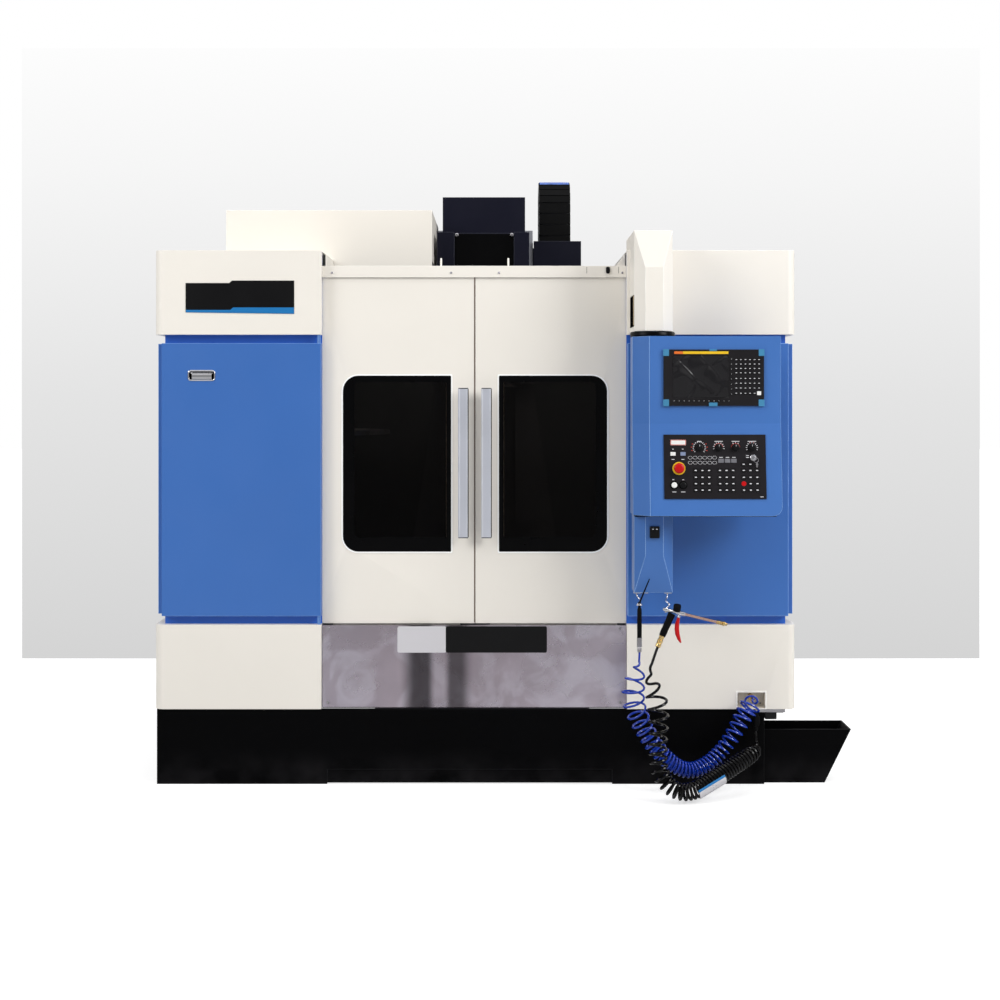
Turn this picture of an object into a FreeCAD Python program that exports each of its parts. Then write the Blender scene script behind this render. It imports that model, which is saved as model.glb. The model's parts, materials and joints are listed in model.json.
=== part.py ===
import FreeCAD, Part
import math
import os

V = FreeCAD.Vector

# Vertical machining centre, in millimetres. X to the right, Y to the back, Z up.
# The origin is on the floor, under the middle of the machine's bounding box.

# ---- enclosure ----
ENCLOSURE_WIDTH = 2600.0
ENCLOSURE_DEPTH = 1780.0
SPOUT_REACH = 232.0        # chip spout past the right side
OVERALL_DEPTH = 2558.0     # emergency stop's head to the cabinet door's back
CONSOLE_REACH = 329.0      # emergency stop's head in front of the white boxes
PLINTH_HEIGHT = 306.0
BOX_HEIGHT = 342.0         # white boxes, lower and upper
REVEAL_HEIGHT = 35.0       # dark bands between boxes and blue panels
PANEL_HEIGHT = 1106.0
REVEAL_DEPTH = 36.0        # inner body behind the boxes' faces
LEFT_BAY = 676.0
RIGHT_BAY = 684.0
SHEET = 3.0
CORNER_RADIUS = 35.0

# ---- sliding doors ----
DOOR_WIDTH = 640.0
DOOR_THICKNESS = 30.0
DOOR_SETBACK = 45.0        # door face behind the boxes' faces
DOOR_GAP = 2.0
DOOR_TOP_LAP = 33.0        # door behind the header
HEADER_HEIGHT = 47.0
MEETING_OFFSET = 3.0       # doors meet this far right of the opening's middle
WINDOW_WIDTH = 445.0
WINDOW_HEIGHT = 722.0
WINDOW_EDGE = 96.0         # meeting edge to window
WINDOW_RADIUS = 65.0
WINDOW_SILL = 291.0        # door bottom to window
GLASS_THICKNESS = 8.0
GLASS_LAP = 24.0
HANDLE_WIDTH = 42.0
HANDLE_LENGTH = 607.0
HANDLE_THICKNESS = 18.0
HANDLE_EDGE = 26.0
HANDLE_STANDOFF = 29.0
HANDLE_ABOVE_SILL = 62.0

# ---- castings and axes ----
COLUMN_X = -90.0           # spindle and column centre line
SPINDLE_Y = -170.0
COLUMN_FACE_Y = 360.0
COLUMN_DEPTH = 460.0
COLUMN_BASE_WIDTH = 800.0
COLUMN_TOP_WIDTH = 470.0
COLUMN_TOP_Z = 2388.0
COLUMN_STRAIGHT_Z = 1640.0
BED_WIDTH = 900.0
BED_TOP_Z = 560.0
FOOT_HEIGHT = 60.0
WAY_HEIGHT = 50.0
WAY_WIDTH = 90.0
WAY_SPACING = 560.0
SADDLE_LENGTH = 860.0
SADDLE_DEPTH = 520.0
SADDLE_HEIGHT = 189.0
CROSS_WAY_REACH = 170.0    # cross ways' middles from the saddle's middle
CROSS_WAY_HALF = 40.0
TABLE_LENGTH = 1000.0
TABLE_DEPTH = 500.0
TABLE_THICKNESS = 100.0
T_SLOT_WIDTH = 18.0
T_SLOT_PITCH = 90.0
T_SLOT_COUNT = 5
NOSE_Z = 1520.0
RUN = 0.3                  # gap between sliding faces
SHAFT_FIT = 0.08           # radial clearance of shafts and pins
SCREW_RADIUS = 20.0
SPINDLE_RADIUS = 70.0

# ---- head covers, chain, magazine ----
MOTOR_COVER_WIDTH = 384.0
MOTOR_COVER_TOP_Z = 2504.0
HEAD_COVER_WIDTH = 412.0
HEAD_COVER_TOP_Z = 2310.0
HEAD_COVER_FRONT_Y = -330.0
HEAD_WIDTH = 340.0
HEAD_TOP_Z = 2200.0
HEAD_DECK = 20.0           # plate that carries motor and covers
CHAIN_WIDTH = 154.0
CHAIN_THICKNESS = 46.0
CHAIN_BEND_RADIUS = 90.0
CHAIN_TOP_Z = 2640.0
CHAIN_LINKS_UP = 6
TROUGH_WIDTH = 236.0
TROUGH_TOP_Z = 2335.0
HOOD_LEFT_INSET = 208.0    # hood behind the left side of the enclosure
HOOD_WIDTH = 897.0
HOOD_HEIGHT = 220.0        # above the roof
HOOD_SETBACK = 450.0
HOOD_DEPTH = 660.0
POCKETS = 16
POCKET_CIRCLE = 270.0
MAGAZINE_TRAVEL = 460.0

# ---- pendant ----
ARM_WIDTH = 150.0
ARM_CHAMFER = 40.0
ARM_INSET = 11.0           # arm from the right bay's left edge
ARM_REACH = 240.0
ARM_RISE = 58.0            # arm's top above the roof
ARM_WALL = 4.0
SLANT_RISE = 148.0         # slanted facets of arm and bracket
BEARING_HEIGHT = 22.0
PENDANT_WIDTH = 568.0
UPPER_FACE_HEIGHT = 338.0  # housing's top to its crease
CONSOLE_HEIGHT = 355.0     # crease to lower edge
BRACKET_HEIGHT = 308.0     # gun bracket below the housing
PENDANT_DEPTH = 150.0
PENDANT_PROUD = 40.0       # housing's upper face in front of the arm's post
PENDANT_BEVEL = 60.0
CONSOLE_TILT = 40.0        # console's lower edge in front of its crease
DISPLAY_WIDTH = 388.0
DISPLAY_HEIGHT = 218.0
PANEL_WIDTH = 393.0
PANEL_FACE_HEIGHT = 248.0
FACE_INSET = 114.0         # display and panel from the housing's left side
PANEL_PROUD = 4.0
STOP_HEAD_RADIUS = 19.0
STOP_RING_RADIUS = 26.0
STOP_BEVEL = 5.0
STOP_REACH = 9.0           # stop's head in front of the console's lower edge
KNOB_RADIUS = 14.0
KNOB_HEIGHT = 14.0
BUTTON_RADIUS = 11.0

# ---- hoses ----
AIR_HOSE_RADIUS = 4.0
WATER_HOSE_RADIUS = 5.0

# ---- derived places ----
X_LEFT = -(ENCLOSURE_WIDTH + SPOUT_REACH) / 2
X_RIGHT = X_LEFT + ENCLOSURE_WIDTH
X_SPOUT = X_RIGHT + SPOUT_REACH
Y_BACK_MOST = OVERALL_DEPTH / 2
Y_FRONT = -OVERALL_DEPTH / 2 + CONSOLE_REACH
Y_REAR = Y_FRONT + ENCLOSURE_DEPTH
Z_BOX1 = PLINTH_HEIGHT + BOX_HEIGHT
Z_PANEL0 = Z_BOX1 + REVEAL_HEIGHT
Z_PANEL1 = Z_PANEL0 + PANEL_HEIGHT
Z_BOX2 = Z_PANEL1 + REVEAL_HEIGHT
Z_ROOF = Z_BOX2 + BOX_HEIGHT
BAY_L = X_LEFT + LEFT_BAY
BAY_R = X_RIGHT - RIGHT_BAY
BODY_L = X_LEFT + REVEAL_DEPTH
BODY_R = X_RIGHT - REVEAL_DEPTH
BODY_F = Y_FRONT + REVEAL_DEPTH
MEETING_X = (BAY_L + BAY_R) / 2 + MEETING_OFFSET
DOOR_Y = Y_FRONT + DOOR_SETBACK
DOOR_BACK = DOOR_Y + DOOR_THICKNESS
DOOR_Z0 = Z_BOX1 - 1.0
HEADER_Z1 = Z_ROOF - 60.0
HEADER_Z0 = HEADER_Z1 - HEADER_HEIGHT
DOOR_Z1 = HEADER_Z0 + DOOR_TOP_LAP
RAIL_Y = DOOR_BACK + 20.0
BEAM_Y = RAIL_Y + 15.0
BEAM_DEPTH = 60.0
HOOD_TOP_Z = Z_ROOF + HOOD_HEIGHT
ARM_BOTTOM_Z = Z_BOX2 + 4.0
ARM_TOP_Z = Z_ROOF + ARM_RISE
ARM_X0 = BAY_R + ARM_INSET
ARM_X1 = ARM_X0 + ARM_WIDTH
POST_X = (ARM_X0 + ARM_X1) / 2
POST_FRONT = Y_FRONT - ARM_REACH
POST_Y = POST_FRONT + ARM_WIDTH / 2
PENDANT_X0 = ARM_X0 - 9.0
PENDANT_X1 = PENDANT_X0 + PENDANT_WIDTH
PENDANT_F = POST_FRONT - PENDANT_PROUD
PENDANT_B = PENDANT_F + PENDANT_DEPTH
CONSOLE_F = PENDANT_F - CONSOLE_TILT
PENDANT_TOP_Z = ARM_BOTTOM_Z - BEARING_HEIGHT
PENDANT_CREASE_Z = PENDANT_TOP_Z - UPPER_FACE_HEIGHT
PENDANT_BOTTOM_Z = PENDANT_CREASE_Z - CONSOLE_HEIGHT
BRACKET_BOTTOM_Z = PENDANT_BOTTOM_Z - BRACKET_HEIGHT
DISPLAY_Z0 = PENDANT_TOP_Z - 270.0
FACE_LEFT_X = PENDANT_X0 + FACE_INSET
GUN_Y = POST_FRONT + 10.0
SADDLE_TOP_Z = BED_TOP_Z + WAY_HEIGHT + RUN + SADDLE_HEIGHT
TABLE_Z0 = SADDLE_TOP_Z + RUN
TABLE_Z1 = TABLE_Z0 + TABLE_THICKNESS
SCREW_Y = COLUMN_FACE_Y + 40.0
COLUMN_WAY = 60.0          # column ways stand this far out of its face
HEAD_REAR = COLUMN_FACE_Y - COLUMN_WAY - RUN


def block(x0, x1, y0, y1, z0, z1):
    return Part.makeBox(x1 - x0, y1 - y0, z1 - z0, V(x0, y0, z0))


def rod(x, y, z0, z1, radius):
    return Part.makeCylinder(radius, z1 - z0, V(x, y, z0))


def hexagon(x, y, z0, z1, half_across):
    """Upright six-sided bar; half_across is half its width over flats."""
    return fluted(x, y, z0, z1, half_across / math.cos(math.pi / 6), 6)


def fluted(x, y, z0, z1, radius, sides):
    """Upright many-sided bar; radius reaches to its corners."""
    turns = [2 * math.pi * k / sides for k in range(sides)]
    corners = [(x + radius * math.cos(a), y + radius * math.sin(a), z0) for a in turns]
    return prism(corners, (0, 0, z1 - z0))


def rod_between(start, end, radius):
    run = end - start
    return Part.makeCylinder(radius, run.Length, start, run)


def bar_between(start, end, radius, sides=8):
    """Straight many-sided bar, as wide over its corners as a rod of that radius."""
    run = end - start
    bar = fluted(0, 0, 0, run.Length, radius, sides)
    bar.Placement = FreeCAD.Placement(start, FreeCAD.Rotation(V(0, 0, 1), run))
    return bar


def prism(points, run):
    """A closed outline of (x, y, z) points pushed along a vector."""
    corners = [V(*p) for p in points]
    outline = Part.makePolygon(corners + corners[:1])
    return Part.Face(outline).extrude(V(*run))


def fused(first, *others):
    return first.fuse(list(others)).removeSplitter() if others else first


def rounded(shape, radius, chosen):
    """Fillet the straight edges for which chosen(middle, direction) is true."""
    edges = []
    for edge in shape.Edges:
        if edge.Curve.TypeId != "Part::GeomLine":
            continue
        run = (edge.Vertexes[-1].Point - edge.Vertexes[0].Point).normalize()
        if chosen(edge.CenterOfMass, run):
            edges.append(edge)
    return shape.makeFillet(radius, edges)


def upright(run):
    return abs(run.z) > 0.99


def save(node, *solids):
    shape = solids[0] if len(solids) == 1 else Part.makeCompound(list(solids))
    for solid in shape.Solids:
        if not solid.isValid():
            print("not valid:", node)
    shape.exportStep("parts/" + node + ".step")


# ---- base: plinth, trough, bed and feet ----
def make_plinth():
    """Black welded plinth: four walls, foot blocks at both front ends, a middle that clears the floor."""
    x0, x1 = X_LEFT + 8.0, X_RIGHT - 126.0
    y0, y1 = Y_FRONT + 10.0, Y_REAR - 4.0
    wall, clear, toe = 8.0, 8.0, 60.0
    foot_l, foot_r, foot_side = BAY_L + 24, BAY_R - 60, 500.0
    outer = block(x0, x1, y0, y1, 0, PLINTH_HEIGHT)
    inner = block(x0 + wall, x1 - wall, y0 + wall, y1 - wall, -1, PLINTH_HEIGHT + 1)
    lift = block(foot_l, foot_r, y0 - 1, y0 + wall + 1, -1, clear)
    recess = block(foot_l, foot_r, y0 - 1, y0 + 3, clear - 1, toe)
    side_lift = block(x0 - 1, x0 + wall + 1, y0 + foot_side, y1 - foot_side, -1, clear)
    rear_lift = block(x0 + foot_side, x1 - foot_side, y1 - wall - 1, y1 + 1, -1, clear)
    trough_way = block(x1 - wall - 1, x1 + 1, TROUGH_Y0, TROUGH_Y1, -1, SPOUT_Z + 4)
    wall_ring = outer.cut([inner, lift, recess, side_lift, rear_lift, trough_way])
    lip_z = PLINTH_HEIGHT - SHEET
    right_lip = block(x1, X_RIGHT - 41, y0 + 40, y0 + 120, lip_z - 22, PLINTH_HEIGHT)
    save("base_plinth", fused(wall_ring, right_lip))


TROUGH_Y0 = Y_FRONT + 33.0
TROUGH_Y1 = TROUGH_Y0 + 168.0
SPOUT_Z = 218.0
SPOUT_SLOPE = 108.0
TROUGH_WALL = 4.0
BED_FRONT = TROUGH_Y1 + 12.0


def trough_outline(offset, top, y0):
    """Trough seen from the front: level rim, right end leaning out, drawn in by offset."""
    lean = offset * math.hypot(SPOUT_SLOPE, SPOUT_Z) / SPOUT_Z
    foot = X_SPOUT - SPOUT_SLOPE - lean
    slope = SPOUT_SLOPE / SPOUT_Z
    left = X_LEFT + 60.0 + offset
    return [
        (left, y0, offset),
        (foot + slope * offset, y0, offset),
        (foot + slope * top, y0, top),
        (left, y0, top),
    ]


def make_trough():
    """Open chip and coolant trough under the doors; its right end is the spout."""
    depth = TROUGH_Y1 - TROUGH_Y0
    outer = prism(trough_outline(0.0, SPOUT_Z, TROUGH_Y0), (0, depth, 0))
    inner = prism(
        trough_outline(TROUGH_WALL, SPOUT_Z + 1, TROUGH_Y0 + TROUGH_WALL),
        (0, depth - 2 * TROUGH_WALL, 0),
    )
    save("chip_trough", outer.cut(inner))


def make_bed():
    """Cast bed: ribbed sides, two box ways for the saddle, a wide seat for the column at the back."""
    x0, x1 = COLUMN_X - BED_WIDTH / 2, COLUMN_X + BED_WIDTH / 2
    y0, y1 = BED_FRONT, Y_REAR - 20.0
    wall, deck, rib, border, cells = 60.0, 70.0, 30.0, 110.0, 4
    cell = (y1 - y0 - 2 * wall) / cells
    body = block(x0, x1, y0, y1, FOOT_HEIGHT, BED_TOP_Z)
    core = block(x0 + wall, x1 - wall, y0 + wall, y1 - wall, FOOT_HEIGHT - 1, BED_TOP_Z - deck)
    ribs = []
    for k in range(1, cells):
        y = y0 + wall + cell * k
        ribs.append(block(x0 + wall / 2, x1 - wall / 2, y - rib / 2, y + rib / 2, FOOT_HEIGHT,
                          BED_TOP_Z - wall))
    hollows = []
    low, high = FOOT_HEIGHT + border, BED_TOP_Z - border
    for k in range(cells):
        a = y0 + wall + cell * k + 50
        b = a + cell - 100
        hollows.append(block(x0 - 1, x0 + wall + 1, a, b, low, high))
        hollows.append(block(x1 - wall - 1, x1 + 1, a, b, low, high))
    shell = body.cut([core] + hollows)
    ways = []
    for side in (-1, 1):
        middle = COLUMN_X + side * WAY_SPACING / 2
        ways.append(block(middle - WAY_WIDTH / 2, middle + WAY_WIDTH / 2, y0,
                          COLUMN_FACE_Y - 12, BED_TOP_Z - 1, BED_TOP_Z + WAY_HEIGHT))
    save("bed_casting", fused(shell, *(ribs + ways)))
    feet = []
    for fx in (x0 + 45, COLUMN_X, x1 - 45):
        for fy in (y0 + 50, y1 - 50):
            pad = fluted(fx, fy, 0, 18, 42, 8)
            screw = hexagon(fx, fy, 17, FOOT_HEIGHT, 16)
            feet.append(fused(pad, screw))
    save("leveling_feet", *feet)


# ---- column and axes ----
def column_half(z):
    """Half the column's width at a height: tapered below, straight above."""
    base, top = COLUMN_BASE_WIDTH / 2, COLUMN_TOP_WIDTH / 2
    if z >= COLUMN_STRAIGHT_Z:
        return top
    return base + (top - base) * (z - BED_TOP_Z) / (COLUMN_STRAIGHT_Z - BED_TOP_Z)


def make_column():
    """Cast column: tapered sides, hollow back, box ways in front with the screw's channel between them."""
    y0, y1 = COLUMN_FACE_Y, COLUMN_FACE_Y + COLUMN_DEPTH
    low, high = column_half(BED_TOP_Z), column_half(COLUMN_TOP_Z)
    outline = [
        (COLUMN_X - low, y0, BED_TOP_Z), (COLUMN_X + low, y0, BED_TOP_Z),
        (COLUMN_X + high, y0, COLUMN_STRAIGHT_Z), (COLUMN_X + high, y0, COLUMN_TOP_Z),
        (COLUMN_X - high, y0, COLUMN_TOP_Z), (COLUMN_X - high, y0, COLUMN_STRAIGHT_Z),
    ]
    body = prism(outline, (0, COLUMN_DEPTH, 0))
    body = rounded(body, 18.0, lambda c, d: c.z > COLUMN_STRAIGHT_Z and abs(d.y) > 0.99)
    half_channel, half_core, half_port, back_wall = 80.0, 170.0, 110.0, 45.0
    channel_z, port_top_z, way_z = 900.0, 1500.0, 960.0
    channel = block(COLUMN_X - half_channel, COLUMN_X + half_channel, y0 - 1, y0 + 110, channel_z,
                    COLUMN_TOP_Z + 1)
    core = block(COLUMN_X - half_core, COLUMN_X + half_core, y0 + 160, y1 - back_wall,
                 BED_TOP_Z - 1, COLUMN_TOP_Z - 60)
    port = block(COLUMN_X - half_port, COLUMN_X + half_port, y1 - back_wall - 1, y1 + 1, channel_z,
                 port_top_z)
    ways = []
    for side in (-1, 1):
        inner, outer = 150.0, high
        xs = sorted((COLUMN_X + side * inner, COLUMN_X + side * outer))
        ways.append(block(xs[0], xs[1], y0 - COLUMN_WAY, y0 + 20, way_z, COLUMN_TOP_Z))
    bearings = []
    for z0, z1 in ((channel_z, channel_z + 50), (COLUMN_TOP_Z - 40, COLUMN_TOP_Z)):
        seat = block(COLUMN_X - half_channel - 1, COLUMN_X + half_channel + 1, SCREW_Y - 32,
                     SCREW_Y + 71, z0, z1)
        bearings.append(seat.cut(rod(COLUMN_X, SCREW_Y, z0 - 1, z1 + 1, SCREW_RADIUS + SHAFT_FIT)))
    save("column_casting", fused(body.cut([channel, core, port]), *(ways + bearings)))
    screw = rod(COLUMN_X, SCREW_Y, channel_z + 5, COLUMN_TOP_Z - 2, SCREW_RADIUS)
    save("z_ball_screw", screw)


def servo(x, y, z, axis, length):
    """Square servo motor: flange, ribbed body and encoder cap along an axis from its seat."""
    half = 65.0
    flange = Part.makeBox(2 * half, 2 * half, 12, V(-half, -half, 0))
    body = Part.makeBox(116, 116, length - 52, V(-58, -58, 11))
    body = body.makeChamfer(12.0, [e for e in body.Edges if e.BoundBox.ZLength > length - 60])
    cap = fluted(0, 0, length - 42, length, 50, 16)
    plug = Part.makeBox(34, 30, 40, V(-17, 56, length - 95))
    motor = fused(flange, body, cap, plug)
    turn = FreeCAD.Rotation(V(0, 0, 1), V(*axis))
    motor.Placement = FreeCAD.Placement(V(x, y, z), turn)
    return motor


def make_drives():
    y_motor = servo(COLUMN_X, BED_FRONT, BED_TOP_Z - 105, (0, -1, 0), 145)
    z_motor = servo(COLUMN_X, SCREW_Y, COLUMN_TOP_Z, (0, 0, 1), 165)
    save("axis_motors", y_motor, z_motor)
    seat_x = COLUMN_X - SADDLE_LENGTH / 2
    save("x_servo_motor", servo(seat_x, SPINDLE_Y, SADDLE_TOP_Z - 85, (-1, 0, 0), 220))


def make_saddle():
    """Cast saddle: rides the bed's ways and carries two cross ways for the table."""
    x0, x1 = COLUMN_X - SADDLE_LENGTH / 2, COLUMN_X + SADDLE_LENGTH / 2
    y0, y1 = SPINDLE_Y - SADDLE_DEPTH / 2, SPINDLE_Y + SADDLE_DEPTH / 2
    z0 = BED_TOP_Z + WAY_HEIGHT + RUN
    plate_z = SADDLE_TOP_Z - 60
    plate = block(x0, x1, y0, y1, z0, plate_z)
    parts = []
    for side in (-1, 1):
        way = COLUMN_X + side * WAY_SPACING / 2
        outside = way + side * (WAY_WIDTH / 2 + RUN)
        inside = way - side * (WAY_WIDTH / 2 + RUN)
        for edge, reach in ((outside, side * 40), (inside, -side * 40)):
            xs = sorted((edge, edge + reach))
            parts.append(block(xs[0], xs[1], y0 + 10, y1 - 10, BED_TOP_Z + 12, z0 + 1))
        middle = SPINDLE_Y + side * CROSS_WAY_REACH
        parts.append(block(x0, x1, middle - CROSS_WAY_HALF, middle + CROSS_WAY_HALF, plate_z - 1,
                           SADDLE_TOP_Z))
    parts.append(block(x0, x0 + 24, SPINDLE_Y - 72, SPINDLE_Y + 72, plate_z - 100, SADDLE_TOP_Z - 14))
    channel = block(x0 + 24, x1 - 40, SPINDLE_Y - 60, SPINDLE_Y + 60, plate_z - 40, SADDLE_TOP_Z)
    save("saddle", fused(plate, *parts).cut(channel))


def make_table():
    """Table with T-slots, chip gutters at both ends and guides that hug the saddle's cross ways."""
    x0, x1 = COLUMN_X - TABLE_LENGTH / 2, COLUMN_X + TABLE_LENGTH / 2
    y0, y1 = SPINDLE_Y - TABLE_DEPTH / 2, SPINDLE_Y + TABLE_DEPTH / 2
    slab = block(x0, x1, y0, y1, TABLE_Z0, TABLE_Z1)
    cuts = []
    for k in range(T_SLOT_COUNT):
        y = SPINDLE_Y + (k - (T_SLOT_COUNT - 1) / 2) * T_SLOT_PITCH
        half, deep = T_SLOT_WIDTH / 2, 16.0
        profile = [
            (x0 - 1, y - half, TABLE_Z1 + 1), (x0 - 1, y - half, TABLE_Z1 - 18),
            (x0 - 1, y - deep, TABLE_Z1 - 18), (x0 - 1, y - deep, TABLE_Z1 - 32),
            (x0 - 1, y + deep, TABLE_Z1 - 32), (x0 - 1, y + deep, TABLE_Z1 - 18),
            (x0 - 1, y + half, TABLE_Z1 - 18), (x0 - 1, y + half, TABLE_Z1 + 1),
        ]
        cuts.append(prism(profile, (TABLE_LENGTH + 2, 0, 0)))
    for end in (x0 + 14, x1 - 44):
        cuts.append(block(end, end + 30, y0 + 20, y1 - 20, TABLE_Z1 - 12, TABLE_Z1 + 1))
    guides = []
    for side in (-1, 1):
        edge = SPINDLE_Y + side * (CROSS_WAY_REACH + CROSS_WAY_HALF + RUN)
        ys = sorted((edge, edge + side * 36))
        guides.append(block(x0 + 60, x1 - 60, ys[0], ys[1], TABLE_Z0 - 42, TABLE_Z0 + 1))
    save("table", fused(slab.cut(cuts), *guides))


# ---- head, spindle, covers ----
def make_head():
    """Cast head: slide with keepers on the column's ways, box body, nose, nut for the screw."""
    x0, x1 = COLUMN_X - HEAD_WIDTH / 2, COLUMN_X + HEAD_WIDTH / 2
    low, high = NOSE_Z + 100, HEAD_TOP_Z
    front = HEAD_COVER_FRONT_Y + 50.0
    body = block(x0, x1, front, HEAD_REAR - 60, low, high)
    body = rounded(body, 45.0, lambda c, d: upright(d) and c.y < front + 1)
    nose = fluted(COLUMN_X, SPINDLE_Y, NOSE_Z + 42, low + 1, 100, 24)
    reach = COLUMN_TOP_WIDTH / 2
    slide = block(COLUMN_X - reach - 12, COLUMN_X + reach + 12, HEAD_REAR - 61, HEAD_REAR,
                  low + 20, high - 20)
    keepers = []
    for side in (-1, 1):
        edge = COLUMN_X + side * (reach + RUN)
        xs = sorted((edge, COLUMN_X + side * (reach + 12)))
        keepers.append(block(xs[0], xs[1], HEAD_REAR - 1, COLUMN_FACE_Y - 12, low + 40, high - 40))
    nut_arm = block(COLUMN_X - 50, COLUMN_X + 50, HEAD_REAR - 1, SCREW_Y + 42, 1880, 1990)
    nut_way = rod(COLUMN_X, SCREW_Y, 1870, 2000, SCREW_RADIUS + SHAFT_FIT)
    top = block(COLUMN_X - 200, COLUMN_X + 200, -60, HEAD_REAR - 10, high - 1, high + HEAD_DECK)
    arm_z = CHAIN_LOW_Z - LINK_END - RUN
    chain_arm = block(COLUMN_X + 195, CHAIN_X1 + 4, HEAD_REAR - 40, HEAD_REAR, arm_z - 30, arm_z)
    chain_seat = block(CHAIN_X0 - 4, CHAIN_X1 + 4, HEAD_REAR - 1, HEAD_REAR + 52, arm_z - 14, arm_z)
    bore = rod(COLUMN_X, SPINDLE_Y, NOSE_Z, high + 30, SPINDLE_RADIUS + SHAFT_FIT)
    head = fused(body, nose, slide, nut_arm, top, chain_arm, chain_seat, *keepers)
    save("spindle_head", head.cut([bore, nut_way]))
    quill = rod(COLUMN_X, SPINDLE_Y, NOSE_Z + 40, high + 10, SPINDLE_RADIUS)
    nose_ring = rod(COLUMN_X, SPINDLE_Y, NOSE_Z, NOSE_Z + 41, 44.5)
    taper = Part.makeCone(22.2, 12.4, 68, V(COLUMN_X, SPINDLE_Y, NOSE_Z))
    drawbar = hexagon(COLUMN_X, SPINDLE_Y, NOSE_Z + 60, high + 20, 8.5)
    keys = [
        block(COLUMN_X + s * 34 - 9, COLUMN_X + s * 34 + 9, SPINDLE_Y - 8, SPINDLE_Y + 8,
              NOSE_Z - 4, NOSE_Z + 1)
        for s in (-1, 1)
    ]
    save("spindle", fused(quill, nose_ring, *keys).cut([taper, drawbar]))
    motor = block(COLUMN_X - 95, COLUMN_X + 95, 30, 220, high + HEAD_DECK, high + 250)
    motor = motor.makeChamfer(22.0, [e for e in motor.Edges if e.BoundBox.ZLength > 200])
    save("spindle_motor", motor)


def make_head_covers():
    """Folded black covers: a tall one over the motor, a wide one with a recessed middle in front."""
    wall = 2.0
    half = MOTOR_COVER_WIDTH / 2
    z0 = HEAD_TOP_Z + HEAD_DECK + RUN
    front, back = -50.0, HEAD_REAR - 10
    outer = block(COLUMN_X - half, COLUMN_X + half, front, back, z0, MOTOR_COVER_TOP_Z)
    inner = block(COLUMN_X - half + wall, COLUMN_X + half - wall, front + wall, back - wall, z0 - 1,
                  MOTOR_COVER_TOP_Z - wall)
    tall_cover = outer.cut(inner)
    half = HEAD_COVER_WIDTH / 2
    front, back = HEAD_COVER_FRONT_Y, -52.0
    z0 = NOSE_Z + 120
    recess_x0, recess_x1, recess = COLUMN_X - 130, COLUMN_X + 138, 40.0

    def outline(inset, z):
        a, b = COLUMN_X - half + inset, COLUMN_X + half - inset
        c, d = recess_x0 - inset, recess_x1 + inset
        f, g = front + inset, front + recess + inset
        return [(a, back, z), (a, f, z), (c, f, z), (c, g, z), (d, g, z), (d, f, z), (b, f, z),
                (b, back, z)]

    outer = prism(outline(0.0, z0), (0, 0, HEAD_COVER_TOP_Z - z0))
    inner = prism(outline(wall, z0 - 1), (0, 0, HEAD_COVER_TOP_Z - wall - z0 + 1))
    gap = block(COLUMN_X - half + wall, COLUMN_X + half - wall, back - 3, back + 1, z0 - 1,
                HEAD_COVER_TOP_Z - wall)
    cover = outer.cut([inner, gap])
    tabs = []
    for side in (-1, 1):
        wall_x = COLUMN_X + side * (half - wall)
        seat_x = COLUMN_X + side * HEAD_WIDTH / 2
        xs = sorted((wall_x + side * 1, seat_x))
        for z in (1700.0, 2150.0):
            tabs.append(block(xs[0], xs[1], back - 60, back - 20, z, z + 30))
    save("head_covers", tall_cover, fused(cover, *tabs))


CHAIN_X0 = COLUMN_X + 266.0
CHAIN_X1 = CHAIN_X0 + CHAIN_WIDTH
CHAIN_FRONT_Y = HEAD_REAR + 6.0
CHAIN_BACK_Y = CHAIN_FRONT_Y + 2 * CHAIN_BEND_RADIUS
CHAIN_BEND_Z = CHAIN_TOP_Z - CHAIN_BEND_RADIUS - CHAIN_THICKNESS / 2
CHAIN_LOW_Z = 2200.0
LINK_NECK = 7.0
LINK_END = 4.2             # a link's foot below its pivot


def link(length):
    """One chain link lying along Z: two side plates with drawn-in ends round a closed middle."""
    plate = 9.0
    half = CHAIN_THICKNESS / 2
    neck = LINK_NECK
    pieces = [block(1, CHAIN_WIDTH - 1, -half + 1, half - 1, length * 0.3, length * 0.7)]
    for x in (0.0, CHAIN_WIDTH - plate):
        side = [(x, -neck, -LINK_END), (x, neck, -LINK_END), (x, half, length * 0.22),
                (x, half, length * 0.78), (x, neck, length - 1.0), (x, -neck, length - 1.0),
                (x, -half, length * 0.78), (x, -half, length * 0.22)]
        pieces.append(prism(side, (plate, 0, 0)))
    return fused(pieces[0], *pieces[1:])


def make_chain():
    """Cable chain: a leg on the head's arm, an arch, and a leg clamped in the trough."""
    rise = CHAIN_BEND_Z - CHAIN_LOW_Z
    pitch = rise / CHAIN_LINKS_UP
    pieces = []
    unit = link(pitch)
    for k in range(CHAIN_LINKS_UP):
        for y in (CHAIN_FRONT_Y + CHAIN_THICKNESS / 2, CHAIN_BACK_Y + CHAIN_THICKNESS / 2):
            piece = unit.copy()
            piece.translate(V(CHAIN_X0, y, CHAIN_LOW_Z + k * pitch))
            pieces.append(piece)
    middle_y = (CHAIN_FRONT_Y + CHAIN_BACK_Y + CHAIN_THICKNESS) / 2
    steps = 5
    chord = 2 * CHAIN_BEND_RADIUS * math.sin(math.pi / steps / 2)
    bend_link = link(chord)
    for k in range(steps):
        a = math.pi * k / steps
        piece = bend_link.copy()
        lean = math.pi * (k + 0.5) / steps
        spin = FreeCAD.Rotation(V(1, 0, 0), -math.degrees(lean))
        y = middle_y - CHAIN_BEND_RADIUS * math.cos(a)
        z = CHAIN_BEND_Z + CHAIN_BEND_RADIUS * math.sin(a)
        piece.Placement = FreeCAD.Placement(V(CHAIN_X0, y, z), spin)
        pieces.append(piece)
    save("drag_chain", fused(pieces[0], *pieces[1:]))


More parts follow.
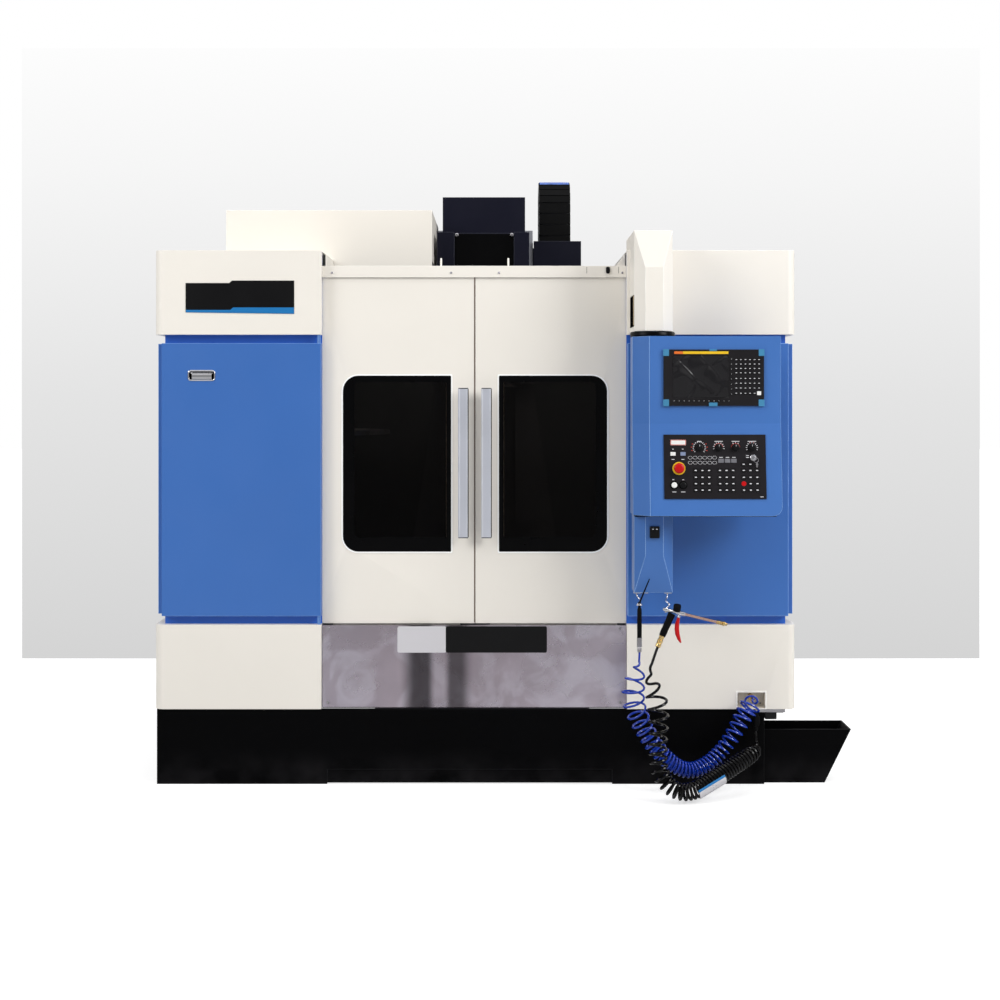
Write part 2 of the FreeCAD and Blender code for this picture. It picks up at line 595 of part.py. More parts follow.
def make_chain_trough():
    """Black sheet trough on the column's right side; a cross plate at its back carries the chain."""
    x0 = COLUMN_X + COLUMN_TOP_WIDTH / 2
    x1 = x0 + TROUGH_WIDTH
    y0, y1 = HEAD_REAR - 20 + RUN, COLUMN_FACE_Y + 260
    z0, z1 = CHAIN_LOW_Z + 12, TROUGH_TOP_Z
    wall = 3.0
    ring = block(x0, x1, y0, y1, z0, z1).cut(
        block(x0 + wall, x1 - wall, y0 + wall, y1 - wall, z0 - 1, z1 + 1))
    way = block(x0 - 1, x0 + wall + 1, y0 - 1, COLUMN_FACE_Y + 5, z0 - 1, z1 + 1)
    seat_z = CHAIN_LOW_Z - LINK_END
    plate = block(x0, x1, CHAIN_BACK_Y - 8, y1, seat_z - 9, seat_z)
    back = block(x0, x1, y1 - wall, y1, seat_z - 9, z0 + 1)
    save("chain_trough", fused(ring.cut(way), plate, back))


# ---- tool magazine ----
MAGAZINE_X = COLUMN_X - MAGAZINE_TRAVEL - POCKET_CIRCLE


def make_magazine():
    """Bracket and rails on the column's left side, the carriage on them, and the carousel below."""
    side_x = COLUMN_X - COLUMN_TOP_WIDTH / 2
    z0, z1 = COLUMN_STRAIGHT_Z + 10, COLUMN_STRAIGHT_Z + 210
    y = COLUMN_FACE_Y + 30
    foot = block(side_x - 20, side_x, y, y + 250, z0, z1)
    beam = block(MAGAZINE_X - 320, side_x - 19, y, y + 40, z0, z1)
    gusset = prism([(side_x - 19, y + 39, z0 + 80), (side_x - 200, y + 39, z0 + 80),
                    (side_x - 19, y + 240, z0 + 80)], (0, 0, 30))
    rails = [block(MAGAZINE_X - 310, side_x - 25, y - 16, y + 1, z, z + 20)
             for z in (z0 + 25, z1 - 45)]
    save("magazine_bracket", fused(beam, foot, gusset, *rails))
    plate_y1 = y - RUN
    plate = block(MAGAZINE_X - 260, MAGAZINE_X + 30, y - 34, plate_y1, z0 - 20, z1 + 10)
    grooves = [block(MAGAZINE_X - 261, MAGAZINE_X + 31, y - 16 - RUN, y, z - RUN, z + 20 + RUN)
               for z in (z0 + 25, z1 - 45)]
    arm = block(MAGAZINE_X - 140, MAGAZINE_X - 8, SPINDLE_Y - 60, y - 33, z0 - 90, z0 - 19)
    arm_rise = block(MAGAZINE_X - 140, MAGAZINE_X - 8, y - 60, y - 33, z0 - 20, z0 + 60)
    hub = fluted(MAGAZINE_X, SPINDLE_Y, z0 - 150, z0 - 19, 38, 16)
    web = block(MAGAZINE_X - 60, MAGAZINE_X, SPINDLE_Y - 38, SPINDLE_Y + 38, z0 - 90, z0 - 19)
    motor = fluted(MAGAZINE_X - 74, SPINDLE_Y, z0 - 20, z0 + 130, 52, 16)
    axle_way = rod(MAGAZINE_X, SPINDLE_Y, z0 - 160, z0 - 60, 20 + SHAFT_FIT)
    carriage = fused(plate.cut(grooves), arm, arm_rise, hub, web, motor).cut(axle_way)
    save("magazine_carriage", carriage)
    disc_z = z0 - 250.0
    disc = fluted(MAGAZINE_X, SPINDLE_Y, disc_z, disc_z + 26, 230, POCKETS)
    disc.rotate(V(MAGAZINE_X, SPINDLE_Y, 0), V(0, 0, 1), 180.0 / POCKETS)
    hub_low = fluted(MAGAZINE_X, SPINDLE_Y, disc_z + 25, z0 - 150 - RUN, 60, 16)
    axle = rod(MAGAZINE_X, SPINDLE_Y, z0 - 151, z0 - 62, 20)
    grippers = []
    for k in range(POCKETS):
        angle = 360.0 * k / POCKETS
        fork = prism([(205, -38, 0), (272, -42, 0), (298, -27, 0), (298, 27, 0), (272, 42, 0),
                      (205, 38, 0)], (0, 0, 20))
        fork = fork.cut(prism([(300, -20, -5), (268, -26, -5), (245, -12, -5), (245, 12, -5),
                               (268, 26, -5), (300, 20, -5)], (0, 0, 30)))
        fork.rotate(V(0, 0, 0), V(0, 0, 1), angle)
        fork.translate(V(MAGAZINE_X, SPINDLE_Y, disc_z + 3))
        grippers.append(fork)
    save("tool_carousel", fused(disc, hub_low, axle, *grippers))


def make_hood():
    """White sheet hood over the magazine, on the upper left box; an apron closes the roof's front."""
    x0 = X_LEFT + HOOD_LEFT_INSET
    x1 = x0 + HOOD_WIDTH
    y0, y1 = Y_FRONT + HOOD_SETBACK, Y_FRONT + HOOD_SETBACK + HOOD_DEPTH
    outer = block(x0, x1, y0, y1, Z_ROOF, HOOD_TOP_Z)
    inner = block(x0 + SHEET, x1 - SHEET, y0 + SHEET, y1 - SHEET, Z_ROOF + SHEET,
                  HOOD_TOP_Z - SHEET)
    mouth = block(x0 + 40, x1 - 40, y0 + 40, y1 - 40, Z_ROOF - 1, Z_ROOF + SHEET + 1)
    apron = block(BAY_L + 1, x1, y0, y0 + SHEET, HEADER_Z1, Z_ROOF + 1)
    save("magazine_hood", fused(outer.cut([inner, mouth]), apron))


# ---- enclosure sheet metal ----
def white_box(x0, x1, z0, z1, outer_side, open_top):
    """Folded cover round one front corner of the body: face, outer side and narrow returns."""
    y0, y1 = Y_FRONT, Y_REAR
    corner_x = x0 if outer_side < 0 else x1

    def at_corner(x):
        return lambda c, d: upright(d) and abs(c.x - x) < 1 and c.y < y0 + 5

    outer = rounded(block(x0, x1, y0, y1, z0, z1), CORNER_RADIUS, at_corner(corner_x))
    core = block(x0 + SHEET, x1 - SHEET, y0 + SHEET, y1 - SHEET, z0 + SHEET, z1 - SHEET)
    core = rounded(core, CORNER_RADIUS - SHEET, at_corner(corner_x - outer_side * SHEET))
    past = 50.0
    left = x0 + REVEAL_DEPTH if outer_side < 0 else x0 - past
    right = x1 + past if outer_side < 0 else x1 - REVEAL_DEPTH
    top = z1 + 1 if open_top else z1 - SHEET
    body = block(left, right, y0 + REVEAL_DEPTH, y1 + past, z0 - 1, top)
    return outer.cut([core, body])


def make_boxes():
    pin_r = HINGE_PIN + SHAFT_FIT
    pin_way = rod(HINGE_X, HINGE_Y, PLINTH_HEIGHT + 5, Z_ROOF - 5, pin_r)
    save("lower_box_left", white_box(X_LEFT, BAY_L, PLINTH_HEIGHT, Z_BOX1, -1, True).cut(pin_way))
    lower = white_box(BAY_R, X_RIGHT, PLINTH_HEIGHT, Z_BOX1, 1, True)
    px0, px1, pz0, pz1, deep = POCKET_X0, POCKET_X0 + POCKET_W, PLINTH_HEIGHT + 4, POCKET_Z1, POCKET_DEEP
    pocket = block(px0 - SHEET, px1 + SHEET, Y_FRONT + 1, Y_FRONT + deep + SHEET, pz0 - 1,
                   pz1 + SHEET)
    hole = block(px0, px1, Y_FRONT - 1, Y_FRONT + deep, pz0, pz1)
    save("lower_box_right", fused(lower, pocket).cut(hole))
    upper = white_box(X_LEFT, BAY_L, Z_BOX2, Z_ROOF, -1, False)
    kerb = block(BAY_L - SHEET, BAY_L, BEAM_Y + BEAM_DEPTH, Y_REAR, HEADER_Z1, Z_ROOF - 1)
    save("upper_box_left", fused(upper, kerb).cut(pin_way))
    upper = white_box(BAY_R, X_RIGHT, Z_BOX2, Z_ROOF, 1, False)
    kerb = block(BAY_R, BAY_R + SHEET, BEAM_Y + BEAM_DEPTH, Y_REAR, HEADER_Z1, Z_ROOF - 1)
    save("upper_box_right", fused(upper, kerb))


POCKET_X0 = X_RIGHT - 239.0
POCKET_W = 117.0
POCKET_Z1 = PLINTH_HEIGHT + 70.0
POCKET_DEEP = 70.0
COUPLER_X = X_RIGHT - 174.0
COUPLER_Z = PLINTH_HEIGHT + 40.0
HINGE_PIN = 5.0
HINGE_X = BAY_L - 10.0
HINGE_Y = Y_FRONT + 9.0
BODY_TOP = Z_ROOF - SHEET
SLOPE_TOP_Z = 640.0
SLOPE_FOOT_Z = 420.0


def make_body():
    """Welded inner body: side, rear and bay front sheets, door beam and sill, posts, chip slopes."""
    t = SHEET
    z0, z1 = PLINTH_HEIGHT, BODY_TOP
    sheets = [
        block(BODY_L, BODY_L + t, BODY_F, Y_REAR - t, z0, z1),
        block(BODY_R - t, BODY_R, BODY_F, Y_REAR - t, z0, z1),
        block(BODY_L, BODY_R, Y_REAR - t, Y_REAR, z0, HEADER_Z1),
        block(BODY_L, BAY_L, BODY_F, BODY_F + t, z0, z1),
        block(BAY_R, BODY_R, BODY_F, BODY_F + t, z0, z1),
        block(BODY_L + 1, BODY_R - 1, BEAM_Y, BEAM_Y + BEAM_DEPTH, HEADER_Z0 - 20, HEADER_Z1 - t),
        block(BODY_L + 1, BODY_R - 1, DOOR_Y, BEAM_Y + BEAM_DEPTH, SILL_Z - 58, SILL_Z),
        block(BAY_L, BAY_R, DOOR_Y, DOOR_Y + t, z0, SILL_Z - 57),
        block(BAY_L - 1, BAY_L + 30, BODY_F, DOOR_Y + t, z0, SILL_Z - 57),
        block(BAY_R - 30, BAY_R + 1, BODY_F, DOOR_Y + t, z0, SILL_Z - 57),
    ]
    for x in (BAY_L, BAY_R - 36):
        sheets.append(block(x, x + 36, BEAM_Y + 5, BEAM_Y + BEAM_DEPTH, SILL_Z - 1, HEADER_Z0 - 19))
    bed_l, bed_r = COLUMN_X - BED_WIDTH / 2, COLUMN_X + BED_WIDTH / 2
    front, back = BEAM_Y + BEAM_DEPTH - 1, Y_REAR - 1
    for wall_x, foot_x in ((BODY_L + 1, bed_l), (BODY_R - 1, bed_r)):
        slope = [(wall_x, front, SLOPE_TOP_Z), (wall_x, front, SLOPE_TOP_Z + t),
                 (foot_x, front, SLOPE_FOOT_Z + t), (foot_x, front, SLOPE_FOOT_Z)]
        sheets.append(prism(slope, (0, back - front, 0)))
    way = SHEET + 1
    pocket_way = block(POCKET_X0 - way, POCKET_X0 + POCKET_W + way, BODY_F - 1, BODY_F + t + 1,
                       PLINTH_HEIGHT - 1, POCKET_Z1 + way)
    save("enclosure_body", fused(sheets[0], *sheets[1:]).cut(pocket_way))


SILL_Z = DOOR_Z0 - 29.0
GUIDE_FIN = 6.0


def make_header_and_rails():
    """White header over the doors; steel rail behind it and a channel under the doors."""
    t = SHEET
    face = block(BAY_L, BAY_R, BODY_F, BODY_F + t, HEADER_Z0, HEADER_Z1)
    top = block(BAY_L, BAY_R, BODY_F, BEAM_Y + BEAM_DEPTH, HEADER_Z1 - t, HEADER_Z1)
    pegs = [fluted(MEETING_X + dx, BODY_F + 30, HEADER_Z1 - 1, HEADER_Z1 + 34, 4.0, 8)
            for dx in (-139.0, 136.0)]
    save("door_header", fused(face, top, *pegs))
    x0, x1 = BODY_L + t + 6, BODY_R - t - 6
    rail = block(x0, x1, RAIL_Y, BEAM_Y, RAIL_Z - 10, RAIL_Z + 10)
    fin_y = DOOR_Y + 15.0
    half = GUIDE_FIN / 2 + 1.0
    channel = block(x0, x1, fin_y - 10, fin_y + 10, SILL_Z, SILL_Z + 22).cut(
        block(x0 - 1, x1 + 1, fin_y - half, fin_y + half, SILL_Z + 8, SILL_Z + 23))
    save("door_rails", rail, channel)


RAIL_Z = HEADER_Z0 + 16.0


def make_skirt():
    """Stainless pan under the doors, bent back at all four edges."""
    y0, y1 = Y_FRONT + 25, BODY_F
    deep = DOOR_Y
    x0, x1 = BAY_L + 2, BAY_R - 2
    z0, z1 = PLINTH_HEIGHT, Z_BOX1 - 6
    tray = block(x0, x1, y0, deep, z0, z1).cut(
        block(x0 + 2, x1 - 2, y0 + 2, deep + 1, z0 + 2, z1 - 2))
    notch_l = block(x0 - 1, BAY_L + 31, y1 - 0.5, deep + 1, z0 - 1, z1 + 1)
    notch_r = block(BAY_R - 31, x1 + 1, y1 - 0.5, deep + 1, z0 - 1, z1 + 1)
    save("stainless_skirt", tray.cut([notch_l, notch_r]))


def pan(x0, x1, y0, y1, z0, z1, sheet):
    """Sheet folded back at all four edges, open at its back (y1)."""
    return block(x0, x1, y0, y1, z0, z1).cut(
        block(x0 + sheet, x1 - sheet, y0 + sheet, y1 + 1, z0 + sheet, z1 - sheet))


LATCH_X0 = X_LEFT + 141.0
LATCH_W = 101.0
LATCH_H = 36.0
LATCH_Z1 = Z_PANEL1 - 113.0


def make_panels():
    """Blue panels: hinged access door on the left, fixed one on the right, one on each side."""
    y1 = BODY_F - 3.0
    door = pan(X_LEFT + 30, BAY_L - 1, Y_FRONT, y1, Z_PANEL0, Z_PANEL1, SHEET)
    latch_way = block(LATCH_X0, LATCH_X0 + LATCH_W, Y_FRONT - 1, Y_FRONT + 5,
                      LATCH_Z1 - LATCH_H, LATCH_Z1)
    box_out = block(LATCH_X0 - 2, LATCH_X0 + LATCH_W + 2, Y_FRONT + 1, Y_FRONT + 22,
                    LATCH_Z1 - LATCH_H - 2, LATCH_Z1 + 2)
    box_in = block(LATCH_X0, LATCH_X0 + LATCH_W, Y_FRONT + 1, Y_FRONT + 20,
                   LATCH_Z1 - LATCH_H, LATCH_Z1)
    pins = [rod(HINGE_X, HINGE_Y, Z_PANEL1 - 2, Z_BOX2 + 6, HINGE_PIN),
            rod(HINGE_X, HINGE_Y, Z_BOX1 - 6, Z_PANEL0 + 2, HINGE_PIN)]
    collars = [fluted(HINGE_X, HINGE_Y, Z_PANEL1 - 2, Z_BOX2 - RUN, 8.5, 8),
               fluted(HINGE_X, HINGE_Y, Z_BOX1 + RUN, Z_PANEL0 + 2, 8.5, 8)]
    door = fused(door, box_out, *(pins + collars)).cut([latch_way, box_in])
    save("access_door", door)
    paddle_y = Y_FRONT + 6.0
    lid = block(LATCH_X0 + 3, LATCH_X0 + LATCH_W - 3, Y_FRONT - 2, Y_FRONT + 3,
                LATCH_Z1 - LATCH_H + 4, LATCH_Z1 - 5.5)
    lid = lid.makeChamfer(1.5, [e for e in lid.Edges if e.CenterOfMass.y < Y_FRONT - 1.9])
    barrel = Part.makeCylinder(4.0, LATCH_W - 2 * RUN, V(LATCH_X0 + RUN, paddle_y, LATCH_Z1 - 8),
                               V(1, 0, 0))
    save("latch_paddle", fused(lid, barrel))
    right = pan(BAY_R + 3, X_RIGHT - 30, Y_FRONT, BODY_F, Z_PANEL0, Z_PANEL1, SHEET)
    save("front_panel_right", right)
    sides = []
    for x0, x1, inner in ((X_LEFT, BODY_L, 1), (BODY_R, X_RIGHT, -1)):
        outer = block(x0, x1, Y_FRONT + 70, Y_REAR - 30, Z_PANEL0, Z_PANEL1)
        hx0, hx1 = (x0 + SHEET, x1 + 1) if inner > 0 else (x0 - 1, x1 - SHEET)
        hollow = block(hx0, hx1, Y_FRONT + 70 + SHEET, Y_REAR - 30 - SHEET, Z_PANEL0 + SHEET,
                       Z_PANEL1 - SHEET)
        sides.append(outer.cut(hollow))
    save("side_panels", *sides)


# ---- doors ----
def make_door(name, side):
    """One sliding door (side -1 left, 1 right): slab, rebated window, rail carriages, guide fin."""
    def span(near, far):
        return sorted((MEETING_X + side * near, MEETING_X + side * far))

    near = DOOR_GAP / 2
    x0, x1 = span(near, near + DOOR_WIDTH)
    slab = block(x0, x1, DOOR_Y, DOOR_BACK, DOOR_Z0, DOOR_Z1)
    slab = rounded(slab, 3.0, lambda c, d: upright(d) and c.y < DOOR_Y + 1)
    wx0, wx1 = span(WINDOW_EDGE, WINDOW_EDGE + WINDOW_WIDTH)
    wz0 = DOOR_Z0 + WINDOW_SILL
    wz1 = wz0 + WINDOW_HEIGHT
    outer_x = wx0 if side < 0 else wx1

    def on_outer(c, d):
        return abs(d.y) > 0.99 and abs(c.x - outer_x) < 60

    rebate = rounded(block(wx0, wx1, DOOR_Y - 1, DOOR_Y + GLASS_THICKNESS + 2, wz0, wz1),
                     WINDOW_RADIUS, on_outer)
    hole = block(wx0 + GLASS_LAP, wx1 - GLASS_LAP, DOOR_Y, DOOR_BACK + 1, wz0 + GLASS_LAP,
                 wz1 - GLASS_LAP)
    hole = rounded(hole, WINDOW_RADIUS - GLASS_LAP, on_outer)
    middle = (x0 + x1) / 2
    parts = []
    for dx in (-200.0, 200.0):
        carriage = block(middle + dx - 50, middle + dx + 50, DOOR_BACK, BEAM_Y - 5,
                         RAIL_Z - 24, RAIL_Z + 24)
        groove = block(middle + dx - 51, middle + dx + 51, RAIL_Y - RUN, BEAM_Y, RAIL_Z - 10 - RUN,
                       RAIL_Z + 10 + RUN)
        parts.append(carriage.cut(groove))
    fin_y = DOOR_Y + 15.0
    parts.append(block(x0 + 60, x1 - 60, fin_y - GUIDE_FIN / 2, fin_y + GUIDE_FIN / 2,
                       SILL_Z + 12, DOOR_Z0 + 1))
    save("door_" + name, fused(slab.cut([rebate, hole]), *parts))
    pane = rounded(block(wx0 + 1, wx1 - 1, DOOR_Y + 2, DOOR_Y + 2 + GLASS_THICKNESS, wz0 + 1,
                         wz1 - 1), WINDOW_RADIUS - 1, on_outer)
    save("window_" + name, pane)
    hx0, hx1 = span(HANDLE_EDGE, HANDLE_EDGE + HANDLE_WIDTH)
    hz0 = wz0 + HANDLE_ABOVE_SILL
    front = DOOR_Y - HANDLE_STANDOFF - HANDLE_THICKNESS
    bar = block(hx0, hx1, front, front + HANDLE_THICKNESS, hz0, hz0 + HANDLE_LENGTH)
    bar = bar.makeChamfer(5.0, [e for e in bar.Edges if e.BoundBox.ZLength > 100
                                and e.CenterOfMass.y < front + 1])
    hmid = (hx0 + hx1) / 2
    posts = [bar_between(V(hmid, DOOR_Y, z), V(hmid, front + HANDLE_THICKNESS - 1, z), 11.0)
             for z in (hz0 + 40, hz0 + HANDLE_LENGTH - 40)]
    save("handle_" + name, fused(bar, *posts))


# ---- electrical cabinet ----
CABINET_X0 = COLUMN_X - 560.0
CABINET_WIDTH = 1120.0
CABINET_Z0 = 480.0
CABINET_Z1 = 2040.0
CABINET_DOOR = 24.0


def make_cabinet():
    """Electrical cabinet on the rear wall: open-backed box with a mounting plate, and its door."""
    x0, x1 = CABINET_X0, CABINET_X0 + CABINET_WIDTH
    y1 = Y_BACK_MOST - CABINET_DOOR - 2.0
    shell = block(x0, x1, Y_REAR, y1, CABINET_Z0, CABINET_Z1).cut(
        block(x0 + 4, x1 - 4, Y_REAR + 4, y1 + 1, CABINET_Z0 + 4, CABINET_Z1 - 4))
    plate = block(x0 + 40, x1 - 40, Y_REAR + 20, Y_REAR + 24, CABINET_Z0 + 60, CABINET_Z1 - 60)
    stands = [block(x0 + 40, x1 - 40, Y_REAR + 3, Y_REAR + 21, z, z + 30)
              for z in (CABINET_Z0 + 100, CABINET_Z1 - 130)]
    ears = []
    for z in (CABINET_Z0 + 150, CABINET_Z1 - 150):
        ear = block(x0 - 12, x0 + 1, y1 - 24, y1, z, z + 40)
        knuckle = fluted(x0 - 12, Y_BACK_MOST - CABINET_DOOR / 2, z, z + 40, 9, 8)
        strap = block(x0 - 14, x0 - 10, y1 - 2, Y_BACK_MOST - CABINET_DOOR / 2, z, z + 40)
        pin_way = rod(x0 - 12, Y_BACK_MOST - CABINET_DOOR / 2, z - 1, z + 41, 5 + SHAFT_FIT)
        ears.append(fused(ear, strap, knuckle).cut(pin_way))
    save("electrical_cabinet", fused(shell, plate, *(stands + ears)))
    door = block(x0 + 1, x1, y1 + 2, Y_BACK_MOST, CABINET_Z0, CABINET_Z1)
    door = door.cut(block(x0 + 5, x1 - 4, y1 + 1, Y_BACK_MOST - 4, CABINET_Z0 + 4, CABINET_Z1 - 4))
    frame = block(x0 + 5, x0 + 21, y1 + 2, Y_BACK_MOST - 3, CABINET_Z0 + 3, CABINET_Z1 - 3)
    reliefs, leaves = [], []
    pin_y = Y_BACK_MOST - CABINET_DOOR / 2
    for z in (CABINET_Z0 + 150, CABINET_Z1 - 150):
        reliefs.append(block(x0, x0 + 4, y1, Y_BACK_MOST + 1, z - 2, z + 42))
        pin = rod(x0 - 12, pin_y, z - 30, z + 40, 5)
        leaf = fluted(x0 - 12, pin_y, z - 30, z - RUN, 9, 8)
        arm = block(x0 - 12, x0 + 6, pin_y - 4, pin_y + 4, z - 30, z - RUN)
        leaves.append(fused(leaf, arm, pin))
    handle = block(x1 - 70, x1 - 40, Y_BACK_MOST - 4.5, Y_BACK_MOST - 4, 1150, 1330)
    save("cabinet_door", fused(door.cut(reliefs), frame, handle, *leaves))


# ---- pendant ----
def post_section(front, back, z):
    """Plan of arm and bracket: a square post with its two front corners bevelled."""
    c = ARM_CHAMFER
    return [(ARM_X0, back, z), (ARM_X0, front + c, z), (ARM_X0 + c, front, z),
            (ARM_X1 - c, front, z), (ARM_X1, front + c, z), (ARM_X1, back, z)]


def make_arm():
    """White sheet arm on the upper right box: bevelled hollow post, slanted top, tongue over the roof."""
    f, b = POST_FRONT, Y_FRONT
    outer = prism(post_section(f, b, ARM_BOTTOM_Z), (0, 0, ARM_TOP_Z - ARM_BOTTOM_Z))
    w = ARM_WALL
    c = ARM_CHAMFER
    k = w * 0.414
    hollow = prism(
        [(ARM_X0 + w, b - w, 0), (ARM_X0 + w, f + c + k, 0), (ARM_X0 + c + k, f + w, 0),
         (ARM_X1 - c - k, f + w, 0), (ARM_X1 - w, f + c + k, 0), (ARM_X1 - w, b - w, 0)],
        (0, 0, ARM_TOP_Z - SLANT_RISE - 8 - ARM_BOTTOM_Z))
    hollow.translate(V(0, 0, ARM_BOTTOM_Z + 8))
    z_low = ARM_TOP_Z - SLANT_RISE
    slope = SLANT_RISE / c
    slant = prism([(ARM_X0 - 1, f - 1, z_low - slope), (ARM_X0 - 1, f + c + 1, ARM_TOP_Z + slope),
                   (ARM_X0 - 1, f - 1, ARM_TOP_Z + SLANT_RISE)], (ARM_WIDTH + 2, 0, 0))
    slot = block(ARM_X0 - 1, ARM_X0 + w + 1, f + c + 4, b - 22, ARM_BOTTOM_Z + 20,
                 ARM_BOTTOM_Z + 145)
    tongue = block(ARM_X0, ARM_X1, b - 1, BEAM_Y + BEAM_DEPTH - 10, Z_ROOF, ARM_TOP_Z)
    gusset_y = BODY_F + 40
    gusset = prism([(ARM_X0 - 52, gusset_y, HEADER_Z1), (ARM_X0 + 1, gusset_y, HEADER_Z1),
                    (ARM_X0 + 1, gusset_y, Z_ROOF + 10)], (0, 6, 0))
    clear = block(BAY_R - 0.5, ARM_X1, gusset_y - 1, gusset_y + 8, HEADER_Z1 - 1, Z_ROOF)
    pivot_way = rod(POST_X, POST_Y, ARM_BOTTOM_Z - 1, ARM_BOTTOM_Z + 9, PIVOT_RADIUS + SHAFT_FIT)
    arm = fused(outer.cut([hollow, slant, slot]), tongue, gusset.cut(clear)).cut(pivot_way)
    save("pendant_arm", arm)


PIVOT_RADIUS = 25.0


def make_pendant():
    """Swinging housing: pivot with nut inside the arm, display part, tilted console, gun bracket."""
    x0, x1 = PENDANT_X0, PENDANT_X1
    foot, crease = PENDANT_BOTTOM_Z, PENDANT_CREASE_Z
    side = [(x0, PENDANT_B, foot), (x0, CONSOLE_F, foot), (x0, PENDANT_F, crease),
            (x0, PENDANT_F, PENDANT_TOP_Z), (x0, PENDANT_B, PENDANT_TOP_Z)]
    whole = prism(side, (PENDANT_WIDTH, 0, 0))

    def corner(front, z, run):
        bevel = PENDANT_BEVEL + 1
        return prism([(x0 - 1, front - 1, z), (x0 + bevel, front - 1, z), (x0 - 1, front + bevel, z)],
                     run)

    upper = corner(PENDANT_F, crease, (0, 0, UPPER_FACE_HEIGHT + 1))
    lower = corner(CONSOLE_F, foot, (0, CONSOLE_TILT, CONSOLE_HEIGHT))
    body = whole.cut([upper, lower])
    foot_edges = [e for e in body.Edges if e.CenterOfMass.z < foot + 1 and e.CenterOfMass.x > x1 - 1]
    body = body.makeFillet(38.0, foot_edges)
    bracket = prism(post_section(POST_FRONT, POST_FRONT + ARM_WIDTH, BRACKET_BOTTOM_Z),
                    (0, 0, BRACKET_HEIGHT + 1))
    c = ARM_CHAMFER
    z_low = BRACKET_BOTTOM_Z
    slant = prism([(ARM_X0 - 1, POST_FRONT - 1, z_low + SLANT_RISE + SLANT_RISE / c),
                   (ARM_X0 - 1, POST_FRONT + c + 1, z_low - SLANT_RISE / c),
                   (ARM_X0 - 1, POST_FRONT - 1, z_low - SLANT_RISE)], (ARM_WIDTH + 2, 0, 0))
    neck = rod(POST_X, POST_Y, PENDANT_TOP_Z - 1, ARM_BOTTOM_Z - RUN, 73)
    pivot = rod(POST_X, POST_Y, ARM_BOTTOM_Z - 1, ARM_BOTTOM_Z + 40, PIVOT_RADIUS)
    nut = hexagon(POST_X, POST_Y, ARM_BOTTOM_Z + 8 + RUN, ARM_BOTTOM_Z + 30, 38)
    shape = fused(body, bracket.cut(slant), neck, pivot, nut)
    display_pocket = block(FACE_LEFT_X + 4, FACE_LEFT_X + DISPLAY_WIDTH - 4, PENDANT_F - 1,
                           PENDANT_F + 60, DISPLAY_Z0 + 4, DISPLAY_Z0 + DISPLAY_HEIGHT - 4)
    panel_pocket = on_console(
        Part.makeBox(PANEL_WIDTH - 12, PANEL_FACE_HEIGHT - 12, 46, V(6, 6, -40)))
    save("pendant_housing", shape.cut([display_pocket, panel_pocket]))


PANEL_V0 = 66.0            # console's lower edge to the operator panel, along its face


def console_lean():
    return math.atan2(CONSOLE_TILT, PENDANT_CREASE_Z - PENDANT_BOTTOM_Z)


def on_console(shape):
    """Place a shape drawn flat (x across, y up the face, z outwards) on the tilted console."""
    lean = math.degrees(console_lean())
    placed = shape.copy()
    placed.Placement = FreeCAD.Placement(V(0, PANEL_V0, 0), FreeCAD.Rotation()).multiply(
        placed.Placement)
    stand = FreeCAD.Rotation(V(1, 0, 0), 90 - lean)
    placed.Placement = FreeCAD.Placement(
        V(FACE_LEFT_X, CONSOLE_F, PENDANT_BOTTOM_Z), stand).multiply(placed.Placement)
    return placed


# rotary knobs, buttons and key switch: (across, up) on the operator panel
KNOBS = {"feed_knob": (137.0, 197.0), "spindle_knob": (212.0, 197.0),
         "rapid_knob": (277.0, 197.0), "mode_knob": (340.0, 197.0)}
STOP_AT = (57.0, 117.0)
START_AT = (38.5, 53.0)
HOLD_AT = (73.0, 53.0)
KEY_AT = (345.0, 159.0)


